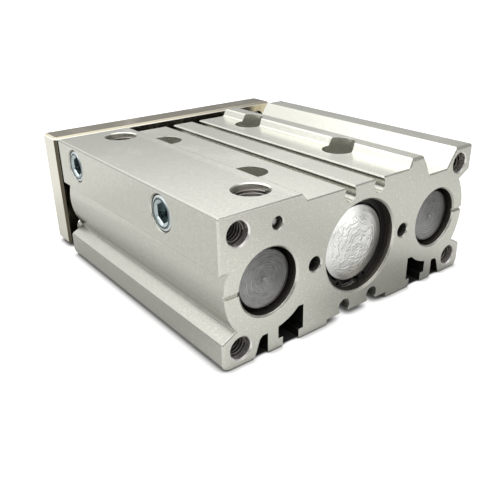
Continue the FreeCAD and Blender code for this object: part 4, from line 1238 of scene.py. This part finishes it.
class CYLINDER_OT_stage(bpy.types.Operator):
    """Set up the floor, the light and the camera"""
    bl_idname = "guided_cylinder.stage"
    bl_label = "Stage"

    def execute(self, context):
        stage = context.scene.cylinder_stage
        self.add_floor(stage)
        self.light_room(context.scene, stage)
        self.add_softbox(stage)
        self.add_camera(context.scene, stage)
        context.scene.view_settings.view_transform = "Standard"
        return {"FINISHED"}

    def add_floor(self, stage):
        """White to the camera up to a painted contact shadow, dark under the slots as painted shadow,
        dimmer to mirrored rays.
        """
        mesh = bmesh.new()
        bmesh.ops.create_grid(mesh, x_segments=1, y_segments=1, size=stage.floor_size / 2)
        mesh.transform(Matrix.Translation((0, 0, BODY_LOW.z)))
        data = bpy.data.meshes.new("floor")
        mesh.to_mesh(data)
        mesh.free()
        material = bpy.data.materials.new("floor_white")
        material.use_nodes = True
        tree = material.node_tree
        place = position(tree)
        under = painted_shadow_under_slots(tree, place)
        # Painted shadow: the floor under the slots is dark and does not glow.
        base = mix_colour(tree, under, (0.31, 0.31, 0.305, 1.0), (0.035, 0.036, 0.034, 1.0))
        rays = tree.nodes.new("ShaderNodeLightPath").outputs
        mirrored = multiply(tree, rays["Is Glossy Ray"], stage.floor_gloss,
                            painted_floor_reflections(tree, place))
        seen = greatest(tree, rays["Is Camera Ray"], rays["Is Transmission Ray"])
        # Painted contact shadow: the glow fades where the floor lies close to the body.
        openness = add_node(tree, "ShaderNodeAmbientOcclusion",
                            {"Distance": stage.contact_reach}, samples=16).outputs["AO"]
        glow = multiply(tree, remap(tree, openness, 0.35, 0.95, 0.0, stage.floor_glow, smooth=False),
                        subtract(tree, 1.0, under))
        shader = tree.nodes["Principled BSDF"].inputs
        shader["Roughness"].default_value = 0.9
        shader["Specular IOR Level"].default_value = 0.0
        shader["Emission Color"].default_value = (1.0, 1.0, 1.0, 1.0)
        tree.links.new(base, shader["Base Color"])
        tree.links.new(multiply(tree, greatest(tree, seen, mirrored), glow),
                       shader["Emission Strength"])
        data.materials.append(material)
        floor = link_object("floor", data)

    def light_room(self, scene, stage):
        """White to the camera; to the surfaces, a bright wall behind on the left in a dim room."""
        world = bpy.data.worlds.new("white_room")
        world.use_nodes = True
        tree = world.node_tree
        tree.nodes.remove(tree.nodes["Background"])
        toward = tree.nodes.new("ShaderNodeTexCoord").outputs["Generated"]
        height = add_node(tree, "ShaderNodeSeparateXYZ", {0: toward}).outputs["Z"]
        wall = vector_math(tree, "DOT_PRODUCT", toward, (-0.45, 0.65, 0.60))
        card = vector_math(tree, "DOT_PRODUCT", toward, (0.35, -0.90, 0.20))
        room = stage.room_level
        for zone, brightness in (
                (within(tree, (wall, 0.02, 0.42), (height, 0.20, 0.44)), stage.wall_level),
                (remap(tree, wall, 0.62, 0.94), stage.core_level),
                (remap(tree, card, 0.80, 0.95), stage.fill_level),
                (remap(tree, height, 0.72, 0.86), stage.ceiling_level)):
            room = add(tree, room, multiply(tree, zone, brightness))
        rays = tree.nodes.new("ShaderNodeLightPath").outputs
        seen = greatest(tree, rays["Is Camera Ray"], rays["Is Transmission Ray"])
        strength = add(tree, seen, multiply(tree, subtract(tree, 1.0, seen), room))
        light = add_node(tree, "ShaderNodeBackground",
                         {"Color": (1.0, 1.0, 1.0, 1.0), "Strength": strength})
        tree.links.new(light.outputs[0], tree.nodes["World Output"].inputs["Surface"])
        scene.world = world

    def add_softbox(self, stage):
        lamp = bpy.data.lights.new("softbox", "AREA")
        lamp.shape = "RECTANGLE"
        lamp.size, lamp.size_y = 0.9, 0.7
        lamp.energy = stage.key_power
        place = Vector((-0.30, 0.35, 0.75))
        aim = (BODY_LOW + BODY_HIGH) / 2 - place
        turn = aim.to_track_quat("-Z", "Y").to_matrix().to_4x4()
        link_object("softbox", lamp).matrix_world = Matrix.Translation(place) @ turn

    def add_camera(self, scene, stage):
        camera = bpy.data.cameras.new("camera")
        camera.sensor_width = 36.0
        camera.lens = stage.lens
        camera.clip_start = 0.005
        holder = link_object("camera", camera)
        holder.location = stage.camera_place
        holder.rotation_euler = stage.camera_turn
        scene.camera = holder


class CYLINDER_PT_panel(bpy.types.Panel):
    """Steps of the finish, in order"""
    bl_idname = "CYLINDER_PT_panel"
    bl_label = "Guided Cylinder"
    bl_space_type = "VIEW_3D"
    bl_region_type = "UI"
    bl_category = "Guided Cylinder"

    def draw(self, context):
        for operator in OPERATORS:
            self.layout.operator(operator.bl_idname)
        for name in SETTINGS:
            group = getattr(context.scene, name)
            box = self.layout.box()
            box.label(text=group.bl_rna.description)
            for key in group.bl_rna.properties.keys():
                if key not in {"rna_type", "name"}:
                    box.prop(group, key)


OPERATORS = (CYLINDER_OT_finishes, CYLINDER_OT_threads, CYLINDER_OT_head_cover,
             CYLINDER_OT_guide_rods, CYLINDER_OT_side_plugs, CYLINDER_OT_plate_screws,
             CYLINDER_OT_stage)
SETTINGS = {
    "cylinder_threads": ThreadSizes,
    "cylinder_cover": CoverSizes,
    "cylinder_rods": RodSizes,
    "cylinder_plugs": PlugSizes,
    "cylinder_screws": ScrewSizes,
    "cylinder_colours": FinishColours,
    "cylinder_stage": StageSettings,
}


def register():
    for name, group in SETTINGS.items():
        bpy.utils.register_class(group)
        setattr(bpy.types.Scene, name, PointerProperty(type=group))
    for item in (*OPERATORS, CYLINDER_PT_panel):
        bpy.utils.register_class(item)


def unregister():
    for item in reversed((*OPERATORS, CYLINDER_PT_panel)):
        bpy.utils.unregister_class(item)
    for name, group in reversed(SETTINGS.items()):
        delattr(bpy.types.Scene, name)
        bpy.utils.unregister_class(group)


def main():
    register()
    bpy.ops.guided_cylinder.finishes()
    bpy.ops.guided_cylinder.threads()
    bpy.ops.guided_cylinder.head_cover()
    bpy.ops.guided_cylinder.guide_rods()
    bpy.ops.guided_cylinder.side_plugs()
    bpy.ops.guided_cylinder.plate_screws()
    bpy.ops.guided_cylinder.stage()


if __name__ == "__main__":
    main()
